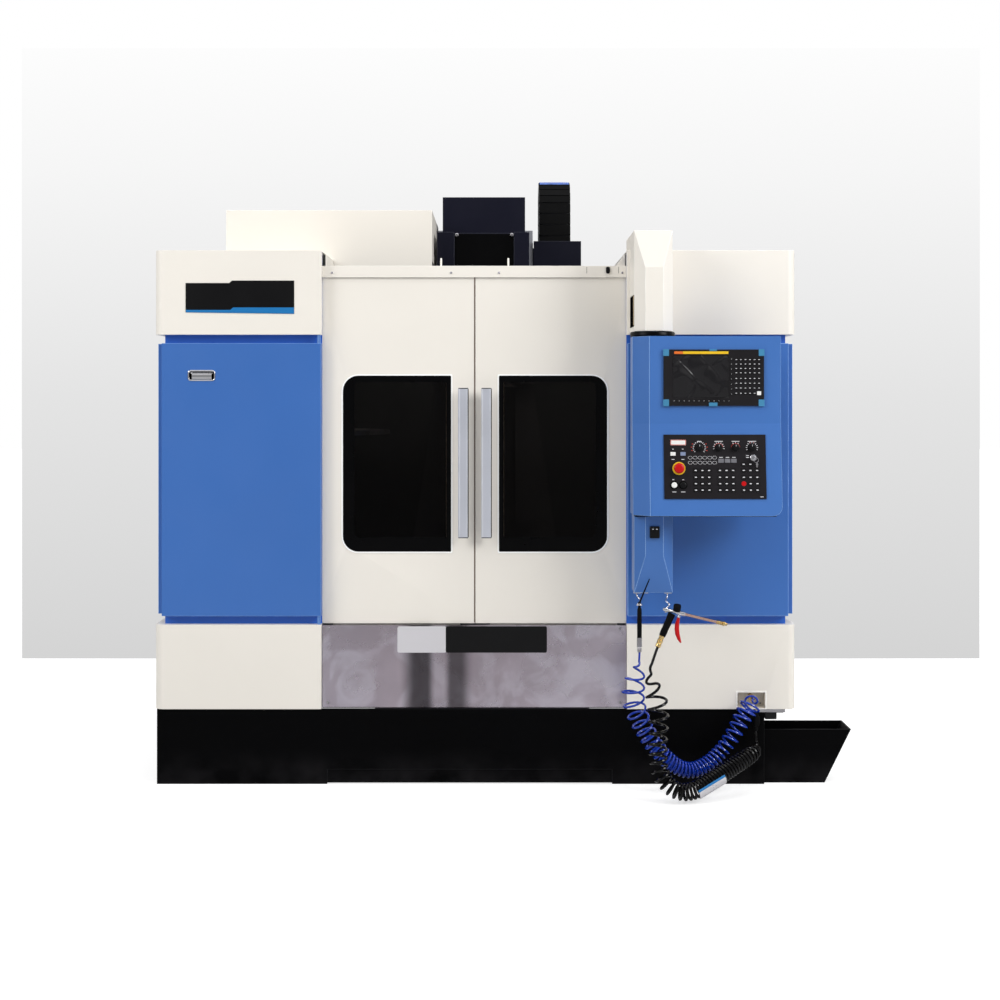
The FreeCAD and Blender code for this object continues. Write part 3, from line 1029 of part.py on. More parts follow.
def make_controls():
    """Display, operator panel with its holes and ring, and everything that turns or presses in it."""
    unit = block(FACE_LEFT_X, FACE_LEFT_X + DISPLAY_WIDTH, PENDANT_F - 8, PENDANT_F,
                 DISPLAY_Z0, DISPLAY_Z0 + DISPLAY_HEIGHT)
    unit = rounded(unit, 5.0, lambda c, d: abs(d.y) > 0.99)
    case = block(FACE_LEFT_X + 12, FACE_LEFT_X + DISPLAY_WIDTH - 12, PENDANT_F - 1, PENDANT_F + 50,
                 DISPLAY_Z0 + 12, DISPLAY_Z0 + DISPLAY_HEIGHT - 12)
    screen_x, screen_z, screen_width, screen_height = FACE_LEFT_X + 35, DISPLAY_Z0 + 31, 218.0, 165.0
    screen = block(screen_x, screen_x + screen_width, PENDANT_F - 9, PENDANT_F - 5.5,
                   screen_z, screen_z + screen_height)
    save("display_unit", fused(unit, case).cut(screen))
    plate = Part.makeBox(PANEL_WIDTH, PANEL_FACE_HEIGHT, PANEL_PROUD, V(0, 0, 0))
    ring = fluted(*STOP_AT, PANEL_PROUD - 1, PANEL_PROUD + 3, STOP_RING_RADIUS, 24)
    holes = []
    for (u, v), bore in ((STOP_AT, 8 + RUN), (START_AT, BUTTON_RADIUS + RUN),
                         (HOLD_AT, BUTTON_RADIUS + RUN)):
        holes.append(Part.makeCylinder(bore, 20, V(u, v, -5)))
    for u, v in list(KNOBS.values()) + [KEY_AT]:
        holes.append(Part.makeCylinder(4 + SHAFT_FIT, 20, V(u, v, -5)))
    save("operator_panel", on_console(fused(plate, ring).cut(holes)))
    top = PANEL_PROUD
    u, v = STOP_AT
    lean = console_lean()
    rim_v = PANEL_V0 + v - STOP_HEAD_RADIUS + STOP_BEVEL
    crown = (STOP_REACH + rim_v * math.sin(lean)) / math.cos(lean)
    head = fluted(u, v, top + 10, crown, STOP_HEAD_RADIUS, 24)
    head = head.makeChamfer(STOP_BEVEL, [e for e in head.Edges if e.CenterOfMass.z > crown - 1])
    stem = hexagon(u, v, -22, top + 11, 6.9)
    save("estop_button", on_console(fused(head, stem)))
    for name, (u, v) in (("start_button", START_AT), ("hold_button", HOLD_AT)):
        save(name, on_console(fluted(u, v, -16, top + 8, BUTTON_RADIUS, 16)))
    for name, (u, v) in KNOBS.items():
        skirt = fluted(u, v, top + 1, top + 5, KNOB_RADIUS, 12)
        grip = prism([(u - 4, v - KNOB_RADIUS + 1, top + 5), (u + 4, v - KNOB_RADIUS + 1, top + 5),
                      (u + 6, v, top + 5), (u + 2, v + KNOB_RADIUS - 1, top + 5),
                      (u - 2, v + KNOB_RADIUS - 1, top + 5), (u - 6, v, top + 5)],
                     (0, 0, KNOB_HEIGHT - 5))
        save(name, on_console(fused(skirt, grip, hexagon(u, v, -14, top + 2, 3.4))))
    u, v = KEY_AT
    barrel = fluted(u, v, top + RUN, top + 5, 9.0, 12)
    bow = prism([(u - 1.2, v - 4, top + 4), (u - 1.2, v - 4, top + 11), (u - 1.2, v - 9, top + 15),
                 (u - 1.2, v - 9, top + 24), (u - 1.2, v - 5, top + 28), (u - 1.2, v + 5, top + 28),
                 (u - 1.2, v + 9, top + 24), (u - 1.2, v + 9, top + 15), (u - 1.2, v + 4, top + 11),
                 (u - 1.2, v + 4, top + 4)], (2.4, 0, 0))
    eye = Part.makeBox(6, 6, 4, V(u - 3, v - 3, top + 20))
    save("key_switch", on_console(fused(barrel, bow, hexagon(u, v, -14, top + 2, 3.4)).cut(eye)))


# ---- guns, hooks, fittings ----
def under_bracket(across, up):
    """A place in the guns' plane, from the bracket's left side and lower edge."""
    return V(ARM_X0 + across, GUN_Y, BRACKET_BOTTOM_Z + up)


AIR_TAIL = under_bracket(17.5, -229.0)
WATER_NUT = under_bracket(106.0, -165.0)
WATER_TAIL = under_bracket(88.0, -210.0)
WATER_REAR = under_bracket(109.0, -60.0)
WATER_TIP = under_bracket(358.0, -120.4)
TRIGGER = under_bracket(170.0, -89.0)
TRIGGER_PIN = 2.5
TRIGGER_WIDTH = 8.0
ACROSS = V(0, 1, 0)


def make_guns():
    """Slim air gun and a water gun, each hung by a collar or its barrel in a chrome wire hook."""
    x, z = AIR_TAIL.x, BRACKET_BOTTOM_Z
    nozzle = bar_between(under_bracket(56.7, 56.8), under_bracket(17.5, -35.0), 3.5)
    neck = fluted(x, GUN_Y, z - 55, z - 31, 5.5, 8)
    stop = fluted(x, GUN_Y, z - 40.8, z - 36, 8.2, 8)
    grip = fluted(x, GUN_Y, z - 176, z - 53, 9.5, 12)
    tail = bar_between(under_bracket(17.5, -175.0), AIR_TAIL, 8.0)
    save("air_gun", fused(nozzle, neck, stop, grip, tail))
    along = (WATER_TIP - WATER_REAR).normalize()

    def at(distance):
        return WATER_REAR + along * distance

    barrel = bar_between(WATER_REAR, at(86), 8.0)
    cap = bar_between(under_bracket(163.0, -67.0), under_bracket(166.0, -41.0), 15.0, 12)
    tube = bar_between(at(85), at(226), 4.5)
    nozzle = bar_between(at(222), at(256), 7.5)
    grip = Part.makeBox(30, 24, 98, V(-15, -12, 0))
    grip = grip.makeChamfer(7.0, [e for e in grip.Edges if e.BoundBox.ZLength > 90])
    grip_run = under_bracket(105.0, -169.0) - under_bracket(144.0, -81.0)
    grip.Placement = FreeCAD.Placement(under_bracket(144.0, -78.0),
                                       FreeCAD.Rotation(V(0, 0, 1), grip_run))
    nut = bar_between(WATER_NUT, WATER_TAIL, 12.0, 12)
    ear = bar_between(TRIGGER - ACROSS * 13, TRIGGER + ACROSS * 13, 8.0)
    x, z, half = TRIGGER.x, TRIGGER.z, TRIGGER_WIDTH / 2
    slit = block(x - 9, x + 25, GUN_Y - half - RUN, GUN_Y + half + RUN, z - 31, z + 9)
    pin_way = rod_between(TRIGGER - ACROSS * 20, TRIGGER + ACROSS * 20, TRIGGER_PIN + SHAFT_FIT)
    save("water_gun", fused(barrel, cap, tube, nozzle, grip, nut, ear).cut([slit, pin_way]))
    lever = bar_between(TRIGGER - ACROSS * half, TRIGGER + ACROSS * half, 6.0)
    pin = rod_between(TRIGGER - ACROSS * 13, TRIGGER + ACROSS * 13, TRIGGER_PIN)
    y = GUN_Y - half
    blade = prism([(x - 5, y, z - 3), (x + 6, y, z - 3), (x + 5, y, z - 60), (x + 15, y, z - 104),
                   (x + 9, y, z - 106), (x - 6, y, z - 62)], (0, TRIGGER_WIDTH, 0))
    save("water_trigger", fused(lever, blade, pin))


def collar(centre, axis, bore, rim, length):
    """Short many-sided ring about an axis, centred on a place."""
    ends = (centre - axis * (length / 2), centre + axis * (length / 2))
    way = (centre - axis * length, centre + axis * length)
    return bar_between(*ends, rim, 12).cut(bar_between(*way, bore, 12))


def make_hooks():
    """Chrome strap hooks under the bracket: a plate, a bent strap and a collar for each gun."""
    z = BRACKET_BOTTOM_Z
    seat_y = POST_FRONT + ARM_CHAMFER
    strap_width, half = 4.0, 2.0

    def plate(left, right):
        return block(ARM_X0 + left, ARM_X0 + right, seat_y - 6, seat_y + 24, z - 3, z)

    def strap(x, foot, drop):
        top, y = z - 2, GUN_Y
        return prism([(x, seat_y + half, top), (x, seat_y - half, top), (x, y - half, foot + drop),
                      (x, y - half, foot), (x, y + half, foot), (x, y + half, foot + drop - 2)],
                     (strap_width, 0, 0))

    hang = under_bracket(17.5, -43.6)
    ring = collar(hang, V(0, 0, 1), 5.9, 10.0, 5.0)
    air = fused(plate(-2, 55), strap(ARM_X0 + 5, hang.z - 2.5, 16.5), ring)
    along = (WATER_TIP - WATER_REAR).normalize()
    centre = WATER_REAR + along * 12
    ring = collar(centre, along, 8.4, 11.5, 6.0)
    water = fused(plate(117, 146), strap(centre.x - half, centre.z + 9, 15.0), ring)
    save("gun_hooks", air, water)


def make_fittings():
    """Brass coupler in the right box's recess, black ball valve on the plinth."""
    y = Y_FRONT + POCKET_DEEP
    nipple = block(COUPLER_X - 9, COUPLER_X + 9, y - 26, y, COUPLER_Z - 9, COUPLER_Z + 9)
    sleeve = bar_between(V(COUPLER_X, y - 25, COUPLER_Z), V(COUPLER_X, y - 66, COUPLER_Z), 13.5, 12)
    save("air_coupler", fused(nipple, sleeve))
    face = Y_FRONT + 10.0
    x, z = VALVE_X, VALVE_Z
    flange = block(x - 24, x + 24, face - 8, face, z - 4, z + 44)
    stub = block(x - 11, x + 11, face - 35, face - 7, z + 9, z + 31)
    body = hexagon(x, VALVE_Y, z - 14, z + 36, 17.0)
    tail = fluted(x, VALVE_Y, z - 26, z - 13, 9.0, 8)
    lever = block(x - 6, x + 6, VALVE_Y - 26, VALVE_Y - 16, z - 6, z + 46)
    save("water_valve", fused(flange, stub, body, tail, lever))


VALVE_X = X_RIGHT - 168.0
VALVE_Z = PLINTH_HEIGHT - 54.0
VALVE_Y = Y_FRONT - 34.0

# ---- curly hoses ----
# Centre line of each hose: x, y, z, coil radius to the tube's middle, rise a turn.
AIR_ROUTE = [
    (528.5, -1180.0, 536.0, 0.0, 75.0), (516.0, -1172.0, 486.0, 34.0, 75.0),
    (505.0, -1165.0, 432.0, 43.0, 75.0), (505.0, -1156.0, 384.0, 43.0, 75.0),
    (518.0, -1146.0, 340.0, 40.0, 72.0), (536.0, -1132.0, 298.0, 38.0, 72.0),
    (559.0, -1122.0, 254.0, 36.0, 69.0), (586.0, -1116.0, 206.0, 34.0, 69.0),
    (625.0, -1112.0, 158.0, 31.0, 66.0), (678.0, -1108.0, 112.0, 29.0, 63.0),
    (735.0, -1100.0, 92.0, 28.0, 60.0), (795.0, -1085.0, 108.0, 28.0, 60.0),
    (850.0, -1065.0, 146.0, 28.0, 60.0), (900.0, -1045.0, 200.0, 29.0, 63.0),
    (938.0, -1030.0, 258.0, 30.0, 69.0), (968.0, -1020.0, 308.0, 28.0, 69.0),
    (996.0, -1012.0, 338.0, 16.0, 69.0), (1010.0, -985.0, 346.0, 0.0, 75.0),
]
WATER_ROUTE = [
    (572.0, -1192.0, 528.0, 0.0, 90.0), (560.0, -1216.0, 474.0, 12.0, 84.0),
    (586.0, -1222.0, 430.0, 36.0, 81.0), (597.0, -1224.0, 370.0, 38.0, 81.0),
    (597.0, -1228.0, 310.0, 37.0, 81.0), (595.0, -1230.0, 250.0, 35.0, 78.0),
    (594.0, -1234.0, 192.0, 32.0, 72.0), (600.0, -1240.0, 138.0, 29.0, 69.0),
    (626.0, -1244.0, 88.0, 27.0, 66.0), (672.0, -1244.0, 56.0, 25.0, 63.0),
    (730.0, -1228.0, 50.0, 24.0, 60.0), (800.0, -1196.0, 76.0, 24.0, 60.0),
    (870.0, -1158.0, 108.0, 24.0, 60.0), (936.0, -1120.0, 138.0, 24.0, 60.0),
    (980.0, -1085.0, 156.0, 23.0, 66.0), (1008.0, -1045.0, 160.0, 16.0, 69.0),
    (1017.0, -1004.0, 168.0, 6.0, 75.0), (1016.0, -985.0, 192.0, 0.0, 75.0),
]


class Route:
    """A smooth line through places, with a coil radius and pitch along it, sampled at even steps."""

    def __init__(self, places, step=2.0):
        self.rows = []
        for i in range(len(places) - 1):
            a, b = places[i], places[i + 1]
            before = places[i - 1] if i else a
            after = places[i + 2] if i + 2 < len(places) else b
            length = V(*b[:3]).distanceToPoint(V(*a[:3]))
            count = max(2, int(length / step))
            for k in range(count):
                t = k / count
                self.rows.append([
                    0.5 * (2 * a[j] + (b[j] - before[j]) * t
                           + (2 * before[j] - 5 * a[j] + 4 * b[j] - after[j]) * t * t
                           + (3 * a[j] - before[j] - 3 * b[j] + after[j]) * t ** 3)
                    for j in range(5)])
        self.rows.append(list(places[-1]))
        self.points = [V(*row[:3]) for row in self.rows]
        self.frames()

    def frames(self):
        """Two directions square to the line at each point, carried along without twist."""
        count = len(self.points)
        self.tangents = [
            (self.points[min(i + 1, count - 1)] - self.points[max(i - 1, 0)]).normalize()
            for i in range(count)]
        normal = V(-1, 0, 0)
        self.normals, self.sides = [], []
        for tangent in self.tangents:
            normal = (normal - tangent * normal.dot(tangent)).normalize()
            self.normals.append(normal)
            self.sides.append(tangent.cross(normal))

    def turns(self):
        """Turns from the start to each sample."""
        total, out = 0.0, [0.0]
        for i in range(1, len(self.points)):
            run = self.points[i].distanceToPoint(self.points[i - 1])
            total += run / (0.5 * (self.rows[i][4] + self.rows[i - 1][4]))
            out.append(total)
        return out

    def coil(self, steps):
        """Places and directions along the coiled tube, so many to a turn."""
        turns = self.turns()
        whole = round(turns[-1] * 2) / 2
        scale = whole / turns[-1]
        spots = []
        i = 0
        for k in range(int(whole * steps) + 1):
            wanted = k / steps / scale
            while i < len(turns) - 2 and turns[i + 1] < wanted:
                i += 1
            share = (wanted - turns[i]) / (turns[i + 1] - turns[i])
            centre = self.points[i] * (1 - share) + self.points[i + 1] * share
            normal = (self.normals[i] * (1 - share) + self.normals[i + 1] * share).normalize()
            side = (self.sides[i] * (1 - share) + self.sides[i + 1] * share).normalize()
            radius = self.rows[i][3] * (1 - share) + self.rows[i + 1][3] * share
            angle = 2 * math.pi * k / steps
            spots.append(centre + (normal * math.cos(angle) + side * math.sin(angle)) * radius)
        return spots


def arc_to(start, heading, end):
    """The arc that leaves start along heading and reaches end, and its heading there."""
    chord = end - start
    along = V(chord).normalize()
    cosine = max(-1.0, min(1.0, heading.dot(along)))
    aside = heading - along * cosine
    if aside.Length < 1e-4:
        return Part.LineSegment(start, end), V(along)
    aside.normalize()
    bend = math.acos(cosine)
    middle = start + chord * 0.5 + aside * (chord.Length / 2 * math.tan(bend / 2))
    leaving = (along * math.cos(bend) - aside * math.sin(bend)).normalize()
    return Part.Arc(start, middle, end), leaving


def biarc(start, heading, end, leaving):
    """Two arcs from start to end that meet smoothly and keep both headings."""
    run = end - start
    both = heading + leaving
    spread = 2 * (1 - heading.dot(leaving))
    reach = -run.dot(both)
    if spread < 1e-6:
        size = run.dot(run) / (2 * run.dot(both))
    else:
        size = (reach + math.sqrt(reach * reach + spread * run.dot(run))) / spread
    middle = (start + heading * size + end - leaving * size) * 0.5
    first, turned = arc_to(start, heading, middle)
    second, _ = arc_to(middle, turned, end)
    return [first, second]


def square_outline(centre, heading, across, radius):
    """Flat square as large as the hose's round section, square to its heading."""
    half = radius * math.sqrt(math.pi) / 2
    u = (across - heading * across.dot(heading)).normalize() * half
    v = heading.cross(u)
    corners = [centre + u + v, centre - u + v, centre - u - v, centre + u - v]
    return Part.makePolygon(corners + corners[:1])


def hose(name, lead, route, finish, radius):
    """One unbroken curly hose: straight ends of a tube's width, coiled middle on biarcs."""
    fine = 24
    spots = route.coil(fine)
    half = fine // 2
    start = lead[0] + lead[1] * (2 * radius)
    stop = finish[0] - finish[1] * (2 * radius)
    places, headings = [start], [lead[1]]
    for k in range(0, len(spots), half):
        a, b = spots[max(k - 1, 0)], spots[min(k + 1, len(spots) - 1)]
        places.append(spots[k])
        headings.append((b - a).normalize())
    places.append(stop)
    headings.append(finish[1])
    curves = [Part.LineSegment(lead[0], start)]
    for k in range(len(places) - 1):
        curves += biarc(places[k], headings[k], places[k + 1], headings[k + 1])
    curves.append(Part.LineSegment(stop, finish[0]))
    wire = Part.Wire([c.toShape() for c in curves])
    shell = Part.BRepOffsetAPI.MakePipeShell(wire)
    shell.add(square_outline(lead[0], lead[1], V(0.0, 1.0, 0.0), radius))
    shell.build()
    shell.makeSolid()
    solid = shell.shape()
    radii = sorted(c.toShape().Curve.Radius for c in curves if isinstance(c, Part.Arc))
    gap = least_gap(spots, fine) - 2 * radius
    share = solid.Volume / (math.pi * radius ** 2 * wire.Length)
    print(f"{name}: length {wire.Length:.0f}, {len(curves)} runs, tightest {radii[0]:.1f},"
          f" least gap {gap:.2f}, volume share {share:.4f}")
    save(name, solid)


def least_gap(spots, steps):
    """The least distance between points of the coil that lie at least half a turn apart."""
    least = 1e9
    for i in range(len(spots)):
        for j in range(i + steps // 2, min(i + 3 * steps, len(spots))):
            least = min(least, spots[i].distanceToPoint(spots[j]))
    return least


def make_hoses():
    down = V(0, 0, -1)
    finish = (V(COUPLER_X, Y_FRONT + POCKET_DEEP - 66, COUPLER_Z), V(0, 1, 0))
    hose("air_hose", (AIR_TAIL, down), Route(AIR_ROUTE), finish, AIR_HOSE_RADIUS)
    lead = (WATER_TAIL, (WATER_TAIL - WATER_NUT).normalize())
    finish = (V(VALVE_X, VALVE_Y, VALVE_Z - 26), V(0, 0, 1))
    hose("water_hose", lead, Route(WATER_ROUTE), finish, WATER_HOSE_RADIUS)


def main():
    os.makedirs("parts", exist_ok=True)
    make_plinth()
    make_trough()
    make_bed()
    make_column()
    make_drives()
    make_saddle()
    make_table()
    make_head()
    make_head_covers()
    make_chain()
    make_chain_trough()
    make_magazine()
    make_hood()
    make_boxes()
    make_body()
    make_header_and_rails()
    make_skirt()
    make_panels()
    make_door("left", -1)
    make_door("right", 1)
    make_cabinet()
    make_arm()
    make_pendant()
    make_controls()
    make_guns()
    make_hooks()
    make_fittings()
    make_hoses()


main()
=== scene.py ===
import json
import math

import bmesh
import bpy
import numpy as np
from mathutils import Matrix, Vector

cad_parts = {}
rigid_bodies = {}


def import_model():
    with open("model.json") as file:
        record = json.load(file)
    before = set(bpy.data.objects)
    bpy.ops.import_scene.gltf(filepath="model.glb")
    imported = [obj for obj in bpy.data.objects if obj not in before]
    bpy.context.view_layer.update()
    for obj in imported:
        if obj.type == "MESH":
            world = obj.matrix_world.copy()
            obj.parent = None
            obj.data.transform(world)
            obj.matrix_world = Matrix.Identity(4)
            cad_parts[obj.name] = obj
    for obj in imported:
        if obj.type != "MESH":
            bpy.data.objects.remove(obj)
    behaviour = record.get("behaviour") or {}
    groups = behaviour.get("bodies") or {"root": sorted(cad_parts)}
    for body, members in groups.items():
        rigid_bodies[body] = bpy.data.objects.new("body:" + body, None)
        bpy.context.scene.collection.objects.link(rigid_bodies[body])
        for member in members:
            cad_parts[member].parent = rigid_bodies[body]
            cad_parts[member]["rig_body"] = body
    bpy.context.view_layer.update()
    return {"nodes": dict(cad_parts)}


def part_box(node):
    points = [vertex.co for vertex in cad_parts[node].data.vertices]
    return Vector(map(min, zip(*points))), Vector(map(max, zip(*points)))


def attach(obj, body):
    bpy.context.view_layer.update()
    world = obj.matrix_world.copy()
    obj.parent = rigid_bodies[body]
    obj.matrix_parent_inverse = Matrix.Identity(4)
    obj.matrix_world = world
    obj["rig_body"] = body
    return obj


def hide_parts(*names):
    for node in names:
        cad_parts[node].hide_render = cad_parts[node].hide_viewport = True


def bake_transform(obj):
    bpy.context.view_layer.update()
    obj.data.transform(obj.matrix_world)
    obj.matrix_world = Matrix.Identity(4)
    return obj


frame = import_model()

# ---- Where the machine is looked at from ----
# A level camera as high as a standing eye, straight in front of the doors, with its picture slid
# down a tenth so that the floor line falls where it does in the photograph.
camera = bpy.data.objects.new("front_camera", bpy.data.cameras.new("front_camera"))
bpy.context.scene.collection.objects.link(camera)
bpy.context.scene.camera = camera
camera.location = (-0.015, -6.950, 1.559)
camera.rotation_euler = (math.radians(90), 0, 0)
camera.data.lens = 53.3
camera.data.sensor_width = 36.0
camera.data.shift_y = -0.1
camera.data.clip_end = 100.0
bpy.context.scene.view_settings.view_transform = "Standard"

# ---- White studio: floor, backdrop and lamps ----
# A pale floor that keeps the machine's shadow, a grey backdrop that pales upwards as wide and as
# high as the one in the photograph, and large soft lamps above. Sizes are in metres.
def colour(red, green, blue):
    """A screen colour of 0 to 255 a channel as the linear values that shaders take."""
    share = np.array([red, green, blue]) / 255.0
    linear = np.where(share <= 0.04045, share / 12.92, ((share + 0.055) / 1.055) ** 2.4)
    return (*linear.tolist(), 1.0)


def node(tree, kind, links=None, **values):
    """A new node. Values name its own settings or, as in_Name or in_1, the value of an input;
    links names inputs and the outputs that feed them."""
    made = tree.nodes.new("ShaderNode" + kind)
    for key, value in values.items():
        if key.startswith("in_"):
            label = key[3:].replace("_", " ")
            made.inputs[int(label) if label.isdigit() else label].default_value = value
        else:
            setattr(made, key, value)
    for key, output in (links or {}).items():
        tree.links.new(output, made.inputs[key])
    return made


def stage_material(name, build):
    """A material of the studio: build fills its empty tree and feeds its output."""
    made = bpy.data.materials.new(name)
    made.use_nodes = True
    tree = made.node_tree
    tree.nodes.remove(tree.nodes["Principled BSDF"])
    build(tree, tree.nodes["Material Output"])
    return made


FLOOR_ALBEDO = 0.60
GLOW_NEAR, GLOW_FAR = (2.2, 0.60), (4.2, 1.2)


def build_floor(tree, out):
    """Pale matt floor, with light of its own added for the camera alone, so that it is white
    where no shadow falls. The added light grows with the distance from the machine's middle."""
    body = node(tree, "BsdfDiffuse", in_Color=(FLOOR_ALBEDO, FLOOR_ALBEDO, FLOOR_ALBEDO, 1))
    glow = node(tree, "Emission", in_Color=(1, 1, 1, 1))
    place = node(tree, "TexCoord").outputs["Object"]
    reach = node(tree, "VectorMath", {0: place}, operation="LENGTH")
    more = node(tree, "MapRange", {"Value": reach.outputs["Value"]}, in_From_Min=GLOW_NEAR[0],
                in_From_Max=GLOW_FAR[0], in_To_Min=GLOW_NEAR[1], in_To_Max=GLOW_FAR[1])
    seen = node(tree, "LightPath")
    power = node(tree, "Math", {0: seen.outputs["Is Camera Ray"], 1: more.outputs["Result"]},
                 operation="MULTIPLY")
    tree.links.new(power.outputs[0], glow.inputs["Strength"])
    both = node(tree, "AddShader", {0: body.outputs[0], 1: glow.outputs[0]})
    tree.links.new(both.outputs[0], out.inputs["Surface"])


BACKDROP_TOP = 3.68
BACKDROP_GREYS = ((0.43, 228), (0.80, 246))


def build_backdrop(tree, out):
    """Grey that pales with height. Only the camera, reflections and glass see it, and only from
    its front."""
    place = node(tree, "TexCoord").outputs["Object"]
    height = node(tree, "SeparateXYZ", {0: place}).outputs["Z"]
    share = node(tree, "MapRange", {"Value": height}, in_From_Min=0.0, in_From_Max=BACKDROP_TOP)
    ramp = node(tree, "ValToRGB", {"Fac": share.outputs["Result"]})
    ramp.color_ramp.elements[0].color = colour(212, 212, 212)
    ramp.color_ramp.elements[1].color = colour(253, 253, 253)
    for up, grey in BACKDROP_GREYS:
        ramp.color_ramp.elements.new(up).color = colour(grey, grey, grey)
    glow = node(tree, "Emission", {"Color": ramp.outputs["Color"]})
    clear = node(tree, "BsdfTransparent")
    seen = node(tree, "LightPath")
    some = node(tree, "Math", {0: seen.outputs["Is Camera Ray"], 1: seen.outputs["Is Glossy Ray"]},
                operation="ADD")
    any_ray = node(tree, "Math", {0: some.outputs[0], 1: seen.outputs["Is Transmission Ray"]},
                   operation="ADD", use_clamp=True)
    back = node(tree, "NewGeometry").outputs["Backfacing"]
    front = node(tree, "Math", {1: back}, operation="SUBTRACT", in_0=1.0)
    shown = node(tree, "Math", {0: any_ray.outputs[0], 1: front.outputs[0]},
                 operation="MULTIPLY")
    mix = node(tree, "MixShader", {"Fac": shown.outputs[0], 1: clear.outputs[0],
                                   2: glow.outputs[0]})
    tree.links.new(mix.outputs[0], out.inputs["Surface"])


def flat_sheet(name, corners, material):
    """One four-cornered face of the studio, which is no part of the machine."""
    mesh = bpy.data.meshes.new(name)
    mesh.from_pydata(corners, [], [(0, 1, 2, 3)])
    sheet = bpy.data.objects.new(name, mesh)
    bpy.context.scene.collection.objects.link(sheet)
    mesh.materials.append(material)
    return sheet


FLOOR_HALF = 40.0
flat_sheet("floor", [(-FLOOR_HALF, -FLOOR_HALF, 0), (FLOOR_HALF, -FLOOR_HALF, 0),
                     (FLOOR_HALF, FLOOR_HALF, 0), (-FLOOR_HALF, FLOOR_HALF, 0)],
           stage_material("pale_floor", build_floor))
BACKDROP_X, BACKDROP_Y, BACKDROP_Z = (-2.893, 2.873), 1.962, (0.002, 3.677)
flat_sheet("backdrop", [(BACKDROP_X[side], BACKDROP_Y, BACKDROP_Z[end])
                        for side, end in ((0, 0), (1, 0), (1, 1), (0, 1))],
           stage_material("grey_backdrop", build_backdrop))

AIR_LIGHT = 0.38
world = bpy.data.worlds.new("studio_air")
bpy.context.scene.world = world
world.use_nodes = True
background = world.node_tree.nodes["Background"]
rays = node(world.node_tree, "LightPath")
level = node(world.node_tree, "MapRange", {"Value": rays.outputs["Is Camera Ray"]},
             in_To_Min=AIR_LIGHT, in_To_Max=1.0)
world.node_tree.links.new(level.outputs["Result"], background.inputs["Strength"])
background.inputs["Color"].default_value = (1, 1, 1, 1)


def lamp(name, place, aim, width, height, watts):
    """A soft box: a rectangle of light at a place, turned to face another."""
    made = bpy.data.objects.new(name, bpy.data.lights.new(name, "AREA"))
    bpy.context.scene.collection.objects.link(made)
    made.data.shape = "RECTANGLE"
    made.data.size, made.data.size_y = width, height
    made.data.energy = watts
    made.location = place
    made.rotation_euler = (Vector(aim) - Vector(place)).to_track_quat("-Z", "Y").to_euler()
    return made


lamp("overhead_box", (0.0, -1.6, 6.2), (0, -0.4, 1.0), 7.0, 5.0, 160)
lamp("left_box", (-5.6, -4.6, 4.6), (-0.2, 0, 1.2), 3.2, 3.2, 213)
lamp("right_box", (5.6, -4.6, 4.6), (0.2, 0, 1.2), 3.2, 3.2, 328)
lamp("rear_box", (0.5, 6.0, 4.8), (0, 0, 1.4), 5.0, 3.0, 170)

# ---- Plinth and chip trough ----
# Black base skirt round the machine's feet, with the chip and coolant trough that comes out on the
# right: folded and welded sheet in matt black powder coat, dusty towards the floor. From here on,
# sizes are in millimetres unless they are said to be in metres.
MM = 0.001


def node_group(name, inputs, outputs):
    """An empty shader node group. Inputs are (name, kind, value), outputs are (name, kind)."""
    tree = bpy.data.node_groups.new(name, "ShaderNodeTree")
    for label, kind, value in inputs:
        socket = tree.interface.new_socket(label, in_out="INPUT", socket_type="NodeSocket" + kind)
        socket.default_value = value
    for label, kind in outputs:
        tree.interface.new_socket(label, in_out="OUTPUT", socket_type="NodeSocket" + kind)
    return tree, tree.nodes.new("NodeGroupInput"), tree.nodes.new("NodeGroupOutput")


def build_clouding():
    """Group: soft cloudy change of a colour and a roughness, and a fine grain's height. Tone is
    one plus or minus Spread by a slow noise; roughness moves by a faster one."""
    tree, given, out = node_group(
        "clouding", [("Colour", "Color", (1, 1, 1, 1)), ("Spread", "Float", 0.03),
                     ("Cloud Scale", "Float", 2.0), ("Roughness", "Float", 0.4),
                     ("Roughness Spread", "Float", 0.06), ("Grain Scale", "Float", 900.0)],
        [("Colour", "Color"), ("Roughness", "Float"), ("Height", "Float")])
    place = node(tree, "TexCoord").outputs["Object"]
    slow = node(tree, "TexNoise", {"Vector": place, "Scale": given.outputs["Cloud Scale"]},
                in_Detail=3.0)
    low = node(tree, "Math", {0: given.outputs["Spread"]}, operation="MULTIPLY", in_1=-1.0)
    change = node(tree, "MapRange", {"Value": slow.outputs["Fac"], "To Min": low.outputs[0],
                                     "To Max": given.outputs["Spread"]},
                  in_From_Min=0.3, in_From_Max=0.7)
    tone = node(tree, "Math", {0: change.outputs["Result"]}, operation="ADD", in_1=1.0)
    shade = node(tree, "VectorMath", {0: given.outputs["Colour"], 3: tone.outputs[0]},
                 operation="SCALE")
    tree.links.new(shade.outputs[0], out.inputs["Colour"])
    faster = node(tree, "TexNoise", {"Vector": place}, in_Scale=7.0, in_Detail=4.0)
    middle_and_spread = {0: given.outputs["Roughness"], 1: given.outputs["Roughness Spread"]}
    less = node(tree, "Math", middle_and_spread, operation="SUBTRACT")
    more = node(tree, "Math", middle_and_spread, operation="ADD")
    rough = node(tree, "MapRange", {"Value": faster.outputs["Fac"], "To Min": less.outputs[0],
                                    "To Max": more.outputs[0]}, in_From_Min=0.3, in_From_Max=0.7)
    tree.links.new(rough.outputs["Result"], out.inputs["Roughness"])
    grain = node(tree, "TexNoise", {"Vector": place, "Scale": given.outputs["Grain Scale"]},
                 in_Detail=2.0)
    tree.links.new(grain.outputs["Fac"], out.inputs["Height"])
    return tree


CLOUDING = build_clouding()


